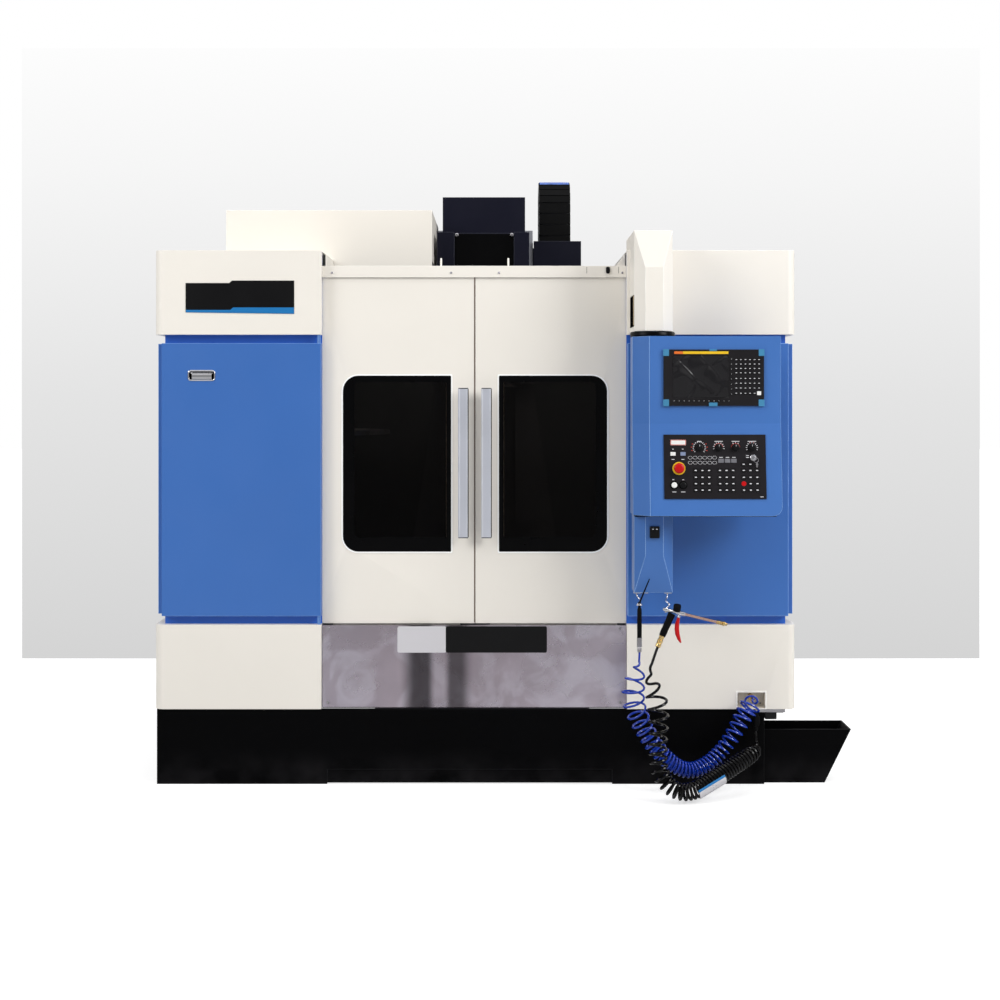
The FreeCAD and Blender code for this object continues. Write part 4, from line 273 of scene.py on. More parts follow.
def finish_of(name, shade, rough, metal=0.0, spread=0.03, clouds=2.0, rough_spread=0.06,
              grain=900.0, depth=0.0002, strength=0.15, **sockets):
    """A material with clouded colour and roughness and a grain in its normal. Its clouding node
    has that name, for finishes that put more between it and the shader."""
    made = bpy.data.materials.new(name)
    made.use_nodes = True
    tree = made.node_tree
    shader = tree.nodes["Principled BSDF"]
    shader.inputs["Metallic"].default_value = metal
    for key, value in sockets.items():
        shader.inputs[key.replace("_", " ")].default_value = value
    cloud = node(tree, "Group", node_tree=CLOUDING, name="clouding", in_Colour=shade,
                 in_Spread=spread, in_Cloud_Scale=clouds, in_Roughness=rough,
                 in_Roughness_Spread=rough_spread, in_Grain_Scale=grain)
    bump = node(tree, "Bump", {"Height": cloud.outputs["Height"]}, in_Strength=strength,
                in_Distance=depth)
    for output, label in ((cloud.outputs["Colour"], "Base Color"),
                          (cloud.outputs["Roughness"], "Roughness"),
                          (bump.outputs["Normal"], "Normal")):
        tree.links.new(output, shader.inputs[label])
    return made


SAME_POINT, FLAT_WITHIN = 1e-5, 0.5


def softened(name, width, finish, edge, segments=2, angle=30):
    """A CAD node's copy with its doubled points joined, its flat faces whole, and its edges
    rounded to a width (mm) where they bend by more than an angle (degrees). The rounded edges
    have a finish of their own."""
    source = frame["nodes"][name]
    mesh = source.data.copy()
    work = bmesh.new()
    work.from_mesh(mesh)
    bmesh.ops.remove_doubles(work, verts=work.verts, dist=SAME_POINT)
    bmesh.ops.dissolve_limit(work, angle_limit=math.radians(FLAT_WITHIN), verts=work.verts,
                             edges=work.edges)
    work.to_mesh(mesh)
    work.free()
    mesh.materials.clear()
    mesh.materials.append(finish)
    mesh.materials.append(edge)
    mesh.polygons.foreach_set("use_smooth", np.ones(len(mesh.polygons), bool))
    mesh.set_sharp_from_angle(angle=math.radians(angle))
    made = bpy.data.objects.new(name + "_finished", mesh)
    bpy.context.scene.collection.objects.link(made)
    bevel = made.modifiers.new("edges", "BEVEL")
    bevel.width = width * MM
    bevel.segments = segments
    bevel.limit_method = "ANGLE"
    bevel.angle_limit = math.radians(angle)
    bevel.harden_normals = True
    bevel.material = 1
    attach(made, source["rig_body"])
    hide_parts(name)
    return made


def build_floor_dust():
    """Group: a mask that falls from 1 at the floor to 0 at the given height, broken up by noise."""
    tree, given, out = node_group("floor_dust", [("Height", "Float", 0.2)], [("Dust", "Float")])
    place = node(tree, "TexCoord").outputs["Object"]
    height = node(tree, "SeparateXYZ", {0: place}).outputs["Z"]
    fall = node(tree, "MapRange", {"Value": height, "From Max": given.outputs["Height"]},
                in_To_Min=1.0, in_To_Max=0.0, interpolation_type="SMOOTHSTEP")
    patches = node(tree, "TexNoise", {"Vector": place}, in_Scale=9.0, in_Detail=6.0)
    share = node(tree, "MapRange", {"Value": patches.outputs["Fac"]}, in_From_Min=0.35,
                 in_From_Max=0.75)
    both = node(tree, "Math", {0: fall.outputs["Result"], 1: share.outputs["Result"]},
                operation="MULTIPLY")
    tree.links.new(both.outputs[0], out.inputs["Dust"])
    return tree


DUST_HEIGHT = 0.16
black_edge = finish_of("black_rubbed_edge", colour(14, 14, 18), 0.36, spread=0.2, clouds=20.0,
                       Specular_IOR_Level=0.2)
black = finish_of("black_powder_coat", colour(2, 2, 3), 0.5, spread=0.25, grain=420.0,
                  depth=0.0004, strength=0.25, Specular_IOR_Level=0.05)
tree = black.node_tree
dust = node(tree, "Group", node_tree=build_floor_dust(), in_Height=DUST_HEIGHT)
dusty = node(tree, "Mix", {0: dust.outputs["Dust"], 6: tree.nodes["clouding"].outputs["Colour"]},
             data_type="RGBA", in_7=colour(26, 25, 27))
tree.links.new(dusty.outputs[2], tree.nodes["Principled BSDF"].inputs["Base Color"])
softened("base_plinth", 2.5, black, black_edge)
softened("chip_trough", 1.5, black, black_edge)

# ---- Castings ----
# Column, spindle head, and the tool magazine's bracket and carriage: iron castings with wide
# rounded edges, painted grey.
def edge_wear_and_highlight(name, shade, rough):
    """An edge coat, thinned by hands and cloths; on the blue panels and the pendant, a painted
    highlight.
    """
    return finish_of(name, shade, rough, spread=0.10, clouds=14.0, rough_spread=0.1)


casting_paint = finish_of("grey_casting_paint", colour(150, 151, 158), 0.42, spread=0.05,
                          grain=260.0, depth=0.0006, strength=0.3)
for name in ("column_casting", "spindle_head", "magazine_carriage", "magazine_bracket"):
    softened(name, 3.0, casting_paint, edge_wear_and_highlight(name + "_edge", colour(176, 178, 182), 0.34))

# ---- Enclosure's inner body ----
# Welded sheet body, powder coated deep blue, whose edges show as dark blue bands round the
# openings. Its faces that look into the work area have a grey coat, chosen by where they lie.
def coat(name, shade, rough, **more):
    """Powder coat: a fine orange-peel grain under a thin even gloss."""
    return finish_of(name, shade, rough, grain=420.0, depth=0.0003, strength=0.12, **more)


deep_blue = coat("deep_blue_powder_coat", colour(38, 102, 204), 0.38, spread=0.04)
deep_blue_edge = edge_wear_and_highlight("deep_blue_rubbed_edge", colour(48, 96, 176), 0.30)
body = softened("enclosure_body", 1.0, deep_blue, deep_blue_edge)
body.data.materials.append(coat("grey_interior_coat", colour(128, 132, 136), 0.42, spread=0.05))
WORK_FRONT, WORK_BACK, WORK_MIDDLE, WORK_HALF = -850, 829, -116, 1263
middles = np.empty(3 * len(body.data.polygons))
body.data.polygons.foreach_get("center", middles)
middles = middles.reshape(-1, 3) / MM
inside = ((middles[:, 1] > WORK_FRONT) & (middles[:, 1] < WORK_BACK)
          & (np.abs(middles[:, 0] - WORK_MIDDLE) < WORK_HALF))
body.data.polygons.foreach_set("material_index", np.where(inside, 2, 0).astype(np.int32))

# ---- White boxes, header, hood and doors ----
# Cabinet boxes on both sides, the header over the doors, the tool magazine's hood, the pendant's
# arm, the rear cabinet and the two sliding doors: folded sheet in ivory powder coat.
ivory = coat("ivory_powder_coat", colour(236, 231, 222), 0.38, spread=0.012)
ivory_edge = edge_wear_and_highlight("ivory_rubbed_edge", colour(246, 243, 236), 0.30)
for name in ("upper_box_left", "upper_box_right", "lower_box_left", "lower_box_right",
             "door_header", "magazine_hood", "pendant_arm"):
    softened(name, 1.2, ivory, ivory_edge)
for name in ("electrical_cabinet", "cabinet_door"):
    softened(name, 1.5, ivory, ivory_edge)
for name in ("door_left", "door_right"):
    softened(name, 2.0, ivory, ivory_edge, segments=3)

# ---- Blue panels and access door ----
# Side panels, the fixed panel right of the doors and the access door left of them: folded sheet in
# blue powder coat, with a much lighter blue on their rounded edges that is a painted highlight. The
# door's hinge pins are drawn in towards their axis, so that they turn free; their sizes are in
# metres, as the mesh has them.
blue = coat("blue_powder_coat", colour(56, 106, 180), 0.36, spread=0.035, clouds=1.2)
# Painted highlight: the blue parts' rounded edges get a much lighter blue than their coat.
blue_edge = edge_wear_and_highlight("blue_rubbed_edge", colour(142, 182, 236), 0.28)
for name, fold in (("access_door", 3.5), ("front_panel_right", 3.5), ("side_panels", 1.3)):
    softened(name, fold, blue, blue_edge, segments=3)
HINGE = np.array([-0.750, -0.941])
PIN_REACH, PIN_SHARE = 0.010, 0.88
LOWER_PIN_TOP, UPPER_PIN_FOOT = 0.684, 1.788
door = bpy.data.objects["access_door_finished"].data
points = np.empty(3 * len(door.vertices))
door.vertices.foreach_get("co", points)
points = points.reshape(-1, 3)
from_hinge = points[:, :2] - HINGE
pin = (np.hypot(*from_hinge.T) < PIN_REACH) & ((points[:, 2] < LOWER_PIN_TOP)
                                               | (points[:, 2] > UPPER_PIN_FOOT))
points[pin, :2] = HINGE + from_hinge[pin] * PIN_SHARE
door.vertices.foreach_set("co", points.ravel())

# ---- Head covers and chain trough ----
# Folded sheet covers over the spindle head and its motor, and the trough that carries the cable
# chain, in a powder coat that is nearly black.
navy = finish_of("navy_powder_coat", colour(11, 12, 28), 0.46, spread=0.12, grain=420.0,
                 depth=0.0003, strength=0.2, Specular_IOR_Level=0.16)
navy_edge = edge_wear_and_highlight("navy_rubbed_edge", colour(34, 38, 54), 0.36)
softened("head_covers", 0.9, navy, navy_edge)
softened("chain_trough", 1.2, navy, navy_edge)

# ---- Door handles and seal ----
# Bar handles of satin aluminium section with rubber end caps and a dark strip along the right side
# that is painted shadow, and the rubber seal where the doors meet.
def put_mesh(name, points, faces, smooth=math.radians(35)):
    """One object from places in millimetres and the corner numbers of its faces, which are turned
    outwards. Edges that bend by more than the given angle stay sharp."""
    mesh = bpy.data.meshes.new(name)
    mesh.from_pydata((np.asarray(points, float) * MM).tolist(), [], [list(f) for f in faces])
    work = bmesh.new()
    work.from_mesh(mesh)
    bmesh.ops.recalc_face_normals(work, faces=work.faces)
    work.to_mesh(mesh)
    work.free()
    mesh.polygons.foreach_set("use_smooth", np.ones(len(mesh.polygons), bool))
    mesh.set_sharp_from_angle(angle=smooth)
    made = bpy.data.objects.new(name, mesh)
    bpy.context.scene.collection.objects.link(made)
    return made


def joined_rings(rings):
    """Rings of corners, an array of (rings, corners, 3), joined ring to ring by four-sided faces
    and closed at both ends by one face each. Corner c of ring r is point r * corners + c."""
    count, sides = rings.shape[:2]
    start = np.arange(count - 1)[:, None] * sides
    corner = np.arange(sides)[None, :]
    after = (corner + 1) % sides
    walls = np.stack([start + corner, start + after, start + sides + after,
                      start + sides + corner], axis=-1).reshape(-1, 4)
    ends = [list(range(sides))[::-1], list(range((count - 1) * sides, count * sides))]
    return rings.reshape(-1, 3), walls.tolist() + ends


def rounded_rectangle(x0, x1, z0, z1, radius, steps=5):
    """Corners of an upright rectangle, once round, each corner a quarter circle in equal steps."""
    turn = np.linspace(0, math.pi / 2, steps)
    corners = ((x1, z1, 0), (x0, z1, 1), (x0, z0, 2), (x1, z0, 3))
    rows = []
    for x, z, quarter in corners:
        side_x, side_z = (1, -1, -1, 1)[quarter], (1, 1, -1, -1)[quarter]
        angle = turn + quarter * math.pi / 2
        rows.append(np.c_[x - side_x * radius + radius * np.cos(angle),
                          z - side_z * radius + radius * np.sin(angle)])
    return np.concatenate(rows)


def plate(x0, x1, z0, z1, front, back, radius=2.0, edge=0.6):
    """Rounded upright plate between two depths, its front edge bevelled all round."""
    rings = []
    for inset, y in ((edge, front), (0.0, front + edge), (0.0, back)):
        line = rounded_rectangle(x0 + inset, x1 - inset, z0 + inset, z1 - inset,
                                 max(radius - inset, 0.05))
        rings.append(np.c_[line[:, 0], np.full(len(line), y), line[:, 1]])
    return joined_rings(np.array(rings))


def gather(shapes):
    """Several shapes as one: their places in a row, and the corner numbers moved on to match."""
    points, faces, start = [], [], 0
    for places, corners in shapes:
        points.append(places)
        faces += [[c + start for c in face] for face in corners]
        start += len(places)
    return np.concatenate(points), faces


def piece(name, shapes, material, body, instead=(), smooth=35):
    """One object of several shapes, that rides on a body and stands for the given CAD nodes."""
    points, faces = gather(shapes)
    made = put_mesh(name, points, faces, math.radians(smooth))
    made.data.materials.append(material)
    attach(made, body)
    if instead:
        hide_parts(*instead)
    return made


anodised = finish_of("satin_aluminium", colour(222, 225, 236), 0.36, metal=0.75, spread=0.03)
anodised_edge = edge_wear_and_highlight("satin_aluminium_edge", colour(226, 228, 236), 0.3)
dark_rubber = finish_of("dark_rubber", colour(4, 4, 5), 0.6, spread=0.2, clouds=40.0,
                        grain=1400.0, strength=0.3, Specular_IOR_Level=0.1)
HANDLE_FRONT, HANDLE_BACK = -953.2, -935
for name, x0, x1 in (("left", -185, -143), ("right", -91, -49)):
    softened("handle_" + name, 1.5, anodised, anodised_edge, segments=3)
    ends = [plate(x0 + 1, x1 - 1, z, z + 3, HANDLE_FRONT, HANDLE_BACK, 1, 0.3)
            for z in (999.2, 1604.8)]
    # Painted shadow: a thin dark strip along the handle's right side.
    ends += [plate(x1 - 2.5, x1 + 0.6, 1003, 1604, -951.5, HANDLE_BACK, 0.5, 0.2)]
    piece("handle_ends_" + name, ends, dark_rubber, name + "_door")
piece("door_seal", [plate(-121.2, -118.1, 652, 2088, -905.9, -904, 0.5, 0.3)],
      finish_of("seal_rubber", colour(122, 104, 96), 0.6, spread=0.1), "left_door")

# ---- Pendant housing ----
# Swinging operator housing of folded sheet with wide rounded edges, whose much paler edge colour is
# a painted highlight; the gun bracket under it, a black bearing ring at its neck, a black strip
# under the housing that is painted shadow, and a black outlet box on the bracket's front.
def lathe(profile, origin, axis, sides=28, waves=0, depth=0.0):
    """Round piece about an axis: a ring for each (radius, distance along) of the profile. With
    waves, the radius grows and shrinks by the depth's share as the cosine of waves times the
    angle."""
    axis = np.array(axis, float) / np.linalg.norm(axis)
    aside = np.array([1.0, 0, 0]) if abs(axis[0]) < 0.9 else np.array([0, 0, 1.0])
    first = np.cross(axis, aside)
    first /= np.linalg.norm(first)
    second = np.cross(axis, first)
    angle = np.linspace(0, 2 * math.pi, sides, endpoint=False)
    swell = 1 + depth * np.cos(waves * angle)
    circle = (first[None] * np.cos(angle)[:, None] + second[None] * np.sin(angle)[:, None])
    rings = [np.array(origin, float) + axis * along + circle * (radius * swell)[:, None]
             for radius, along in profile]
    return joined_rings(np.array(rings))


sky_blue = coat("pendant_powder_coat", colour(62, 110, 180), 0.34, spread=0.03, clouds=1.5)
# Painted highlight: the housing's rounded edges get a much paler blue than its coat.
sky_blue_edge = edge_wear_and_highlight("pendant_rubbed_edge", colour(172, 206, 246), 0.24)
black_plastic = finish_of("black_plastic", colour(6, 6, 9), 0.34, spread=0.12,
                          Specular_IOR_Level=0.25)
# Black print, and also the black strip under the pendant housing, which is painted shadow.
black_print_and_painted_shade = finish_of("black_print_and_painted_shade", colour(1, 1, 2), 0.3, spread=0.1, Specular_IOR_Level=0.1)
legend_white = finish_of("legend_white", colour(214, 214, 218), 0.5, spread=0.05)
softened("pendant_housing", 3.5, sky_blue, sky_blue_edge, segments=4)
piece("bearing_ring", [lathe([(73.5, 1806.5), (84, 1806.5), (88, 1810), (88, 1822),
                              (85, 1826.5), (73.5, 1826.5)], (586, -1115, 0), (0, 0, 1), 48)],
      black_print_and_painted_shade, "pendant")
# Painted shadow: black plates just under the housing's bottom edge, where its shade falls.
piece("shadow_strip_under_housing", [plate(508, 1064, 1104, 1113.5, -1184, -1060, 6, 1),
                         plate(512, 660, 1105, 1113.5, -1193, -1183, 3, 1)],
      black_print_and_painted_shade, "pendant")
piece("outlet_box", [plate(567, 605, 1022, 1068, -1204, -1190, 4, 2),
                     plate(571, 601, 1028, 1046, -1205, -1203, 2, 0.8)],
      black_plastic, "pendant")
piece("outlet_lights", [plate(x0, x1, 1056, 1059, -1205, -1203, 0.8, 0.3)
                        for x0, x1 in ((576, 582), (590, 597))],
      legend_white, "pendant")

# ---- Door windows ----
# Laminated pane behind a black printed border, in a rubber lip whose pure white is a painted
# highlight of its rounded edge; the left and right doors mirror each other. The dark pane lets
# about a third of the light through, with wiped streaks.
def band(outer, inner, front, back):
    """Flat upright ring between two outlines of as many corners, with walls at both edges."""
    count = len(outer)
    rings = [np.c_[line[:, 0], np.full(count, y), line[:, 1]]
             for line, y in ((outer, back), (outer, front), (inner, front), (inner, back))]
    start = np.arange(4)[:, None] * count
    after = (np.arange(4)[:, None] + 1) % 4 * count
    corner = np.arange(count)[None, :]
    beside = (corner + 1) % count
    faces = np.stack([start + corner, start + beside, after + beside, after + corner], axis=-1)
    return np.concatenate(rings), faces.reshape(-1, 4).tolist()


glass = bpy.data.materials.new("dark_window")
glass.use_nodes = True
tree = glass.node_tree
shader = tree.nodes["Principled BSDF"]
shader.inputs["Base Color"].default_value = colour(3, 3, 4)
shader.inputs["Specular IOR Level"].default_value = 0.2
streaks = node(tree, "TexNoise", {"Vector": node(tree, "TexCoord").outputs["Object"]},
               in_Scale=3.0, in_Detail=3.0)
wiped = node(tree, "MapRange", {"Value": streaks.outputs["Fac"]}, in_From_Min=0.3,
             in_From_Max=0.8, in_To_Min=0.03, in_To_Max=0.12)
tree.links.new(wiped.outputs["Result"], shader.inputs["Roughness"])
through = node(tree, "BsdfTransparent", in_Color=(0.54, 0.50, 0.46, 1))
mixed = node(tree, "MixShader", {1: shader.outputs[0], 2: through.outputs[0]}, in_Fac=0.62)
tree.links.new(mixed.outputs[0], tree.nodes["Material Output"].inputs["Surface"])
# Painted highlight: the lip is pure white, for the bright line along its rounded edge.
lip_highlight_white = finish_of("window_lip_rubber", colour(255, 255, 253), 0.3, spread=0.02)
PANE_Z = (938, 1660)
for name, body, x0, x1, far in (("left", "left_door", -658, -213, -1),
                                ("right", "right_door", -21, 424, 1)):
    corner = rounded_rectangle(x0, x1, *PANE_Z, 60.0, 8)
    near = corner[:, 0] * far < (x0 + x1) / 2 * far

    def one_sided(inset, big, near_inset=None, sill=None, head=None):
        """The pane's outline drawn in by inset: far corners of a big radius, near ones small. The
        near side, the sill and the head may be drawn in by other widths."""
        left = inset if far < 0 or near_inset is None else near_inset
        right = inset if far > 0 or near_inset is None else near_inset
        size = (x0 + left, x1 - right, PANE_Z[0] + (inset if sill is None else sill),
                PANE_Z[1] - (inset if head is None else head))
        line = rounded_rectangle(*size, big, 8)
        tight = rounded_rectangle(*size, 5.0, 8)
        line[near] = tight[near]
        return line

    piece("window_lip_" + name, [band(one_sided(-4.0, 69), one_sided(1.5, 63), -906.8, -903.0)],
          lip_highlight_white, body)
    piece("window_border_" + name, [band(one_sided(0.5, 64), one_sided(48.0, 22, 20, 60, 28),
                                         -903.35, -902.9)], black_print_and_painted_shade, body)

# ---- Stainless skirt ----
# Brushed stainless splash pan under the doors, held by a screw at each corner. Two upright dark
# bands stand for the soft reflections in its brushed face.
def build_brushing():
    """Group: fine upright lines as a height, and slow blotches as a mask from 0 to 1. The lines
    are a noise stretched 60 times along Z; the blotches are a distorted noise, steepened."""
    tree, given, out = node_group(
        "brushing", [("Line Scale", "Float", 700.0), ("Blotch Scale", "Float", 5.0)],
        [("Lines", "Float"), ("Blotches", "Float")])
    place = node(tree, "TexCoord").outputs["Object"]
    long = node(tree, "Mapping", {"Vector": place}, in_Scale=(1.0, 1.0, 0.016))
    lines = node(tree, "TexNoise", {"Vector": long.outputs[0],
                                    "Scale": given.outputs["Line Scale"]}, in_Detail=3.0)
    tree.links.new(lines.outputs["Fac"], out.inputs["Lines"])
    blotch = node(tree, "TexNoise", {"Vector": place, "Scale": given.outputs["Blotch Scale"]},
                  in_Detail=5.0, in_Distortion=1.2)
    steep = node(tree, "MapRange", {"Value": blotch.outputs["Fac"]}, in_From_Min=0.42,
                 in_From_Max=0.62, interpolation_type="SMOOTHSTEP")
    tree.links.new(steep.outputs["Result"], out.inputs["Blotches"])
    return tree


REFLECTED = ((0.25, 0.92), (0.305, 0.17), (0.345, 0.17), (0.375, 0.80), (0.40, 0.80),
             (0.425, 0.24), (0.455, 0.24), (0.50, 0.85))
SKIRT_X = (-0.74, 0.50)
steel = finish_of("brushed_stainless", colour(182, 173, 184), 0.24, metal=1.0, spread=0.06,
                  clouds=3.0, rough_spread=0.10)
tree = steel.node_tree
shader = tree.nodes["Principled BSDF"]
brush = node(tree, "Group", node_tree=build_brushing())
blotchy = node(tree, "Mix", {0: brush.outputs["Blotches"],
                             6: tree.nodes["clouding"].outputs["Colour"]},
               data_type="RGBA", in_7=colour(200, 194, 206))
across = node(tree, "SeparateXYZ", {0: node(tree, "TexCoord").outputs["Object"]})
share = node(tree, "MapRange", {"Value": across.outputs["X"]}, in_From_Min=SKIRT_X[0],
             in_From_Max=SKIRT_X[1])
bands = node(tree, "ValToRGB", {"Fac": share.outputs["Result"]})
bands.color_ramp.interpolation = "EASE"
bands.color_ramp.elements[0].color = (0.95, 0.95, 0.95, 1)
bands.color_ramp.elements[1].color = (1, 1, 1, 1)
for spot, level in REFLECTED:
    bands.color_ramp.elements.new(spot).color = (level, level * 0.97, level * 0.96, 1)
shaded = node(tree, "Mix", {6: blotchy.outputs[2], 7: bands.outputs["Color"]}, data_type="RGBA",
              blend_type="MULTIPLY", in_0=1.0)
tree.links.new(shaded.outputs[2], shader.inputs["Base Color"])
lines = node(tree, "Bump", {"Height": brush.outputs["Lines"]}, in_Strength=0.10,
             in_Distance=0.0002)
tree.links.new(lines.outputs["Normal"], shader.inputs["Normal"])
softened("stainless_skirt", 0.8, steel, steel)


def screws(profile, places, way=(0, -1, 0), sides=16):
    """A screw head at each place: the profile's (radius, distance along) rings about a way."""
    return [lathe(profile, place, way, sides) for place in places]


SKIRT_Y = -925
screw_steel = finish_of("screw_steel", colour(168, 166, 170), 0.3, metal=1.0, spread=0.1)
piece("skirt_screws", screws([(6.5, 0), (6.5, 1.2), (5.2, 3.0), (2.0, 3.6), (1.6, 2.4)],
                             [(x, SKIRT_Y, z) for x in (-715, 474) for z in (630, 329)]),
      screw_steel, "machine")

# ---- Blank plates ----
# A light and a dark plate on the skirt, and a stepped dark plate with a blue strip on the upper
# left box: thin sheet with printed film, stuck on. All are bare.
def prism(corners, run):
    """Flat outline of places pushed along a vector."""
    corners = np.array(corners, float)
    return joined_rings(np.array([corners, corners + np.array(run, float)]))


def flat_outline(corners, front, thickness):
    """Upright plate of any outline, from its (x, z) corners."""
    return prism([(x, front, z) for x, z in corners], (0, thickness, 0))


light_plate = finish_of("light_label", colour(206, 204, 208), 0.42, spread=0.03)
dark_plate = finish_of("dark_label", colour(8, 8, 10), 0.34, spread=0.08, Specular_IOR_Level=0.2)
blue_plate = finish_of("blue_label", colour(12, 112, 176), 0.36, spread=0.05)
piece("light_name_plate", [plate(-432, -234, 531, 638, SKIRT_Y - 2, SKIRT_Y, 7, 0.5)],
      light_plate, "machine")
piece("dark_name_plate", [plate(-236, 176, 531, 638, SKIRT_Y - 2.2, SKIRT_Y, 7, 0.5)],
      dark_plate, "machine")
piece("blank_type_plate",
      [flat_outline([(-1289, 1914), (-849, 1908), (-849, 2043), (-1101, 2043), (-1112, 2033),
                     (-1289, 2033)], -951.4, 1.4)], dark_plate, "machine")
piece("blank_type_strip",
      [flat_outline([(-1288, 1914), (-849.5, 1908.5), (-849.5, 1934), (-1096, 1934),
                     (-1108, 1924), (-1288, 1924)], -951.9, 0.6)], blue_plate, "machine")

# ---- Header fittings ----
# Steel screws of the door header, its small plastic catch and the seams beside it, and the two
# bolts of the head's cover.
HEADER_Y = -914
piece("header_screws", screws([(5, 0), (5, 1.4), (3.6, 2.6), (1.8, 2.9), (1.4, 2.0)],
                              [(x, HEADER_Y, 2078) for x in (-700, -214, -19, 484)], sides=14),
      screw_steel, "machine")
piece("header_catch", [plate(417, 433, 2074, 2102, HEADER_Y - 8, HEADER_Y, 7, 1)],
      black_plastic, "machine")
piece("header_seams", [plate(x, x + 1.4, 2075, 2102, HEADER_Y - 0.5, HEADER_Y + 0.2, 0.5, 0.1)
                       for x in (338, 468)], dark_rubber, "machine")
piece("cover_bolts", screws([(9, 0), (9, 3), (6, 5.5), (3, 5.8), (3, 3.5)],
                            [(x, -330, 2297) for x in (-208, 38)], sides=6),
      screw_steel, "head")

# ---- Display unit ----
# Black display case with taped corners, a screen under a wrinkled film, soft keys below and
# beside it, and a block of letter keys. All legends are plain dashes.
DISPLAY_Y = -1238.0
SCREEN_X, SCREEN_Z = (652, 868), (1568, 1731)
FILM_MIDDLE, FILM_HALF = (760, 1650), (108, 82)
CREASES = ((0.4, 2.1, 0.3, 14), (1.9, 1.6, 1.9, 18), (2.6, 2.7, 4.0, 12), (1.2, 1.2, 2.6, 20),
           (0.1, 3.3, 5.2, 16))


def film_over_screen():
    """The screen's protective film: a grid whose depth is a sum of five slanted waves, each
    sharpened to narrow creases and let down to nothing at the film's edges. A crease has its
    angle, its waves over the film, its phase and its sharpness."""
    x, z = np.meshgrid(np.linspace(*SCREEN_X, 72), np.linspace(*SCREEN_Z, 56))
    u, v = (x - FILM_MIDDLE[0]) / FILM_HALF[0], (z - FILM_MIDDLE[1]) / FILM_HALF[1]
    rise = np.zeros_like(u)
    for angle, count, phase, width in CREASES:
        wave = np.sin(count * (u * math.cos(angle) + v * math.sin(angle)
                               + 0.35 * np.sin(2 * v + phase)) + phase)
        rise += np.exp(-(width * wave) ** 2 / 12)
    rise *= np.clip(1.15 - np.maximum(abs(u), abs(v)), 0, 0.15) / 0.15
    rows, columns = u.shape
    corner = (np.arange(rows - 1)[:, None] * columns + np.arange(columns - 1)[None]).ravel()
    faces = np.stack([corner, corner + 1, corner + columns + 1, corner + columns], axis=1)
    points = np.stack([x, DISPLAY_Y + 1.6 - 2.0 * rise, z], axis=-1).reshape(-1, 3)
    return points, faces.tolist()


display_film = finish_of("display_case", colour(22, 20, 23), 0.36, spread=0.06, clouds=9.0,
                         Specular_IOR_Level=0.3)
softened("display_unit", 1.2, display_film, display_film)
film = finish_of("screen_film", colour(20, 19, 22), 0.10, spread=0.10, clouds=8.0,
                 Specular_IOR_Level=0.5)
piece("screen_film", [film_over_screen()], film, "pendant", smooth=80)
teal_pad = finish_of("teal_pad", colour(58, 128, 168), 0.4, spread=0.08)
piece("display_corner_pads",
      [plate(x0, x1, z0, z1, DISPLAY_Y - 1, DISPLAY_Y + 7, radius, 0.5)
       for x0, x1, z0, z1, radius in
       ((614.6, 637, 1729, 1755.2, 2), (983, 1005.4, 1729, 1755.2, 2),
        (614.6, 637, 1534.8, 1561, 2), (983, 1005.4, 1534.8, 1561, 2),
        (793, 822, 1748, 1755.2, 1), (791, 824, 1534.8, 1549, 1))],
      teal_pad, "pendant")
yellow = finish_of("yellow_plastic", colour(232, 188, 26), 0.36, spread=0.06)
orange = finish_of("orange_plastic", colour(222, 108, 34), 0.36, spread=0.06)
for name, x0, x1, tint in (("display_stripe", 691, 866, yellow),
                           ("display_stripe_end", 657, 690.6, orange)):
    piece(name, [plate(x0, x1, 1736.5, 1746.5, DISPLAY_Y - 0.6, DISPLAY_Y + 1, 1, 0.2)], tint,
          "pendant")


def keys(places, depth, rise):
    """A low bevelled key at each (x, z, width, height)."""
    return [plate(x - w / 2, x + w / 2, z - h / 2, z + h / 2, depth - rise, depth + 0.4, 1.4, 0.5)
            for x, z, w, h in places]


def dashes(places, depth, share=0.45, high=1.2):
    """A short printed dash on each key, as long as a share of its width."""
    return [plate(x - w * share / 2, x + w * share / 2, z - high / 2, z + high / 2,
                  depth, depth + 0.3, high * 0.4, 0.05) for x, z, w, h in places]


soft_keys = [(657 + 19.2 * k, 1555.5, 10, 8) for k in range(12)]
soft_keys += [(878, 1717 - 19.3 * k, 10, 10) for k in range(8)]
letter_keys = [(896.5 + 17.6 * c, z, 13, 11) for c in range(6)
               for z in (1714.8, 1697.8, 1680.8, 1663.9, 1642.3, 1623.8, 1605.3)]
letter_keys += [(896.5 + 17.6 * c, 1585.2, 13, 11) for c in range(5)]
key_rubber = finish_of("key_rubber", colour(4, 4, 6), 0.3, spread=0.1, Specular_IOR_Level=0.3)
white_key = finish_of("white_key", colour(232, 232, 230), 0.36, spread=0.03)
piece("display_keys", keys(soft_keys + letter_keys, DISPLAY_Y, 1.3), key_rubber, "pendant")
piece("display_legends", dashes(letter_keys, DISPLAY_Y - 1.4, 0.5, 2.6)
      + dashes(soft_keys, DISPLAY_Y - 1.4, 0.3, 1.8), legend_white, "pendant")
piece("display_white_key", keys([(984.4, 1585.2, 16, 15)], DISPLAY_Y, 1.5), white_key, "pendant")

# ---- Operator panel ----
# Black panel on the tilted console, with printed dials, lamps, keys and a red key. Pieces are
# drawn on an upright plane, across and up from the panel's lower left corner with their front
# towards -Y, and then laid on the console.
CONSOLE_LEAN = math.atan2(40.0, 355.0)
CONSOLE_CORNER = (616, -1270, 1113)
PANEL_FOOT = 66.0


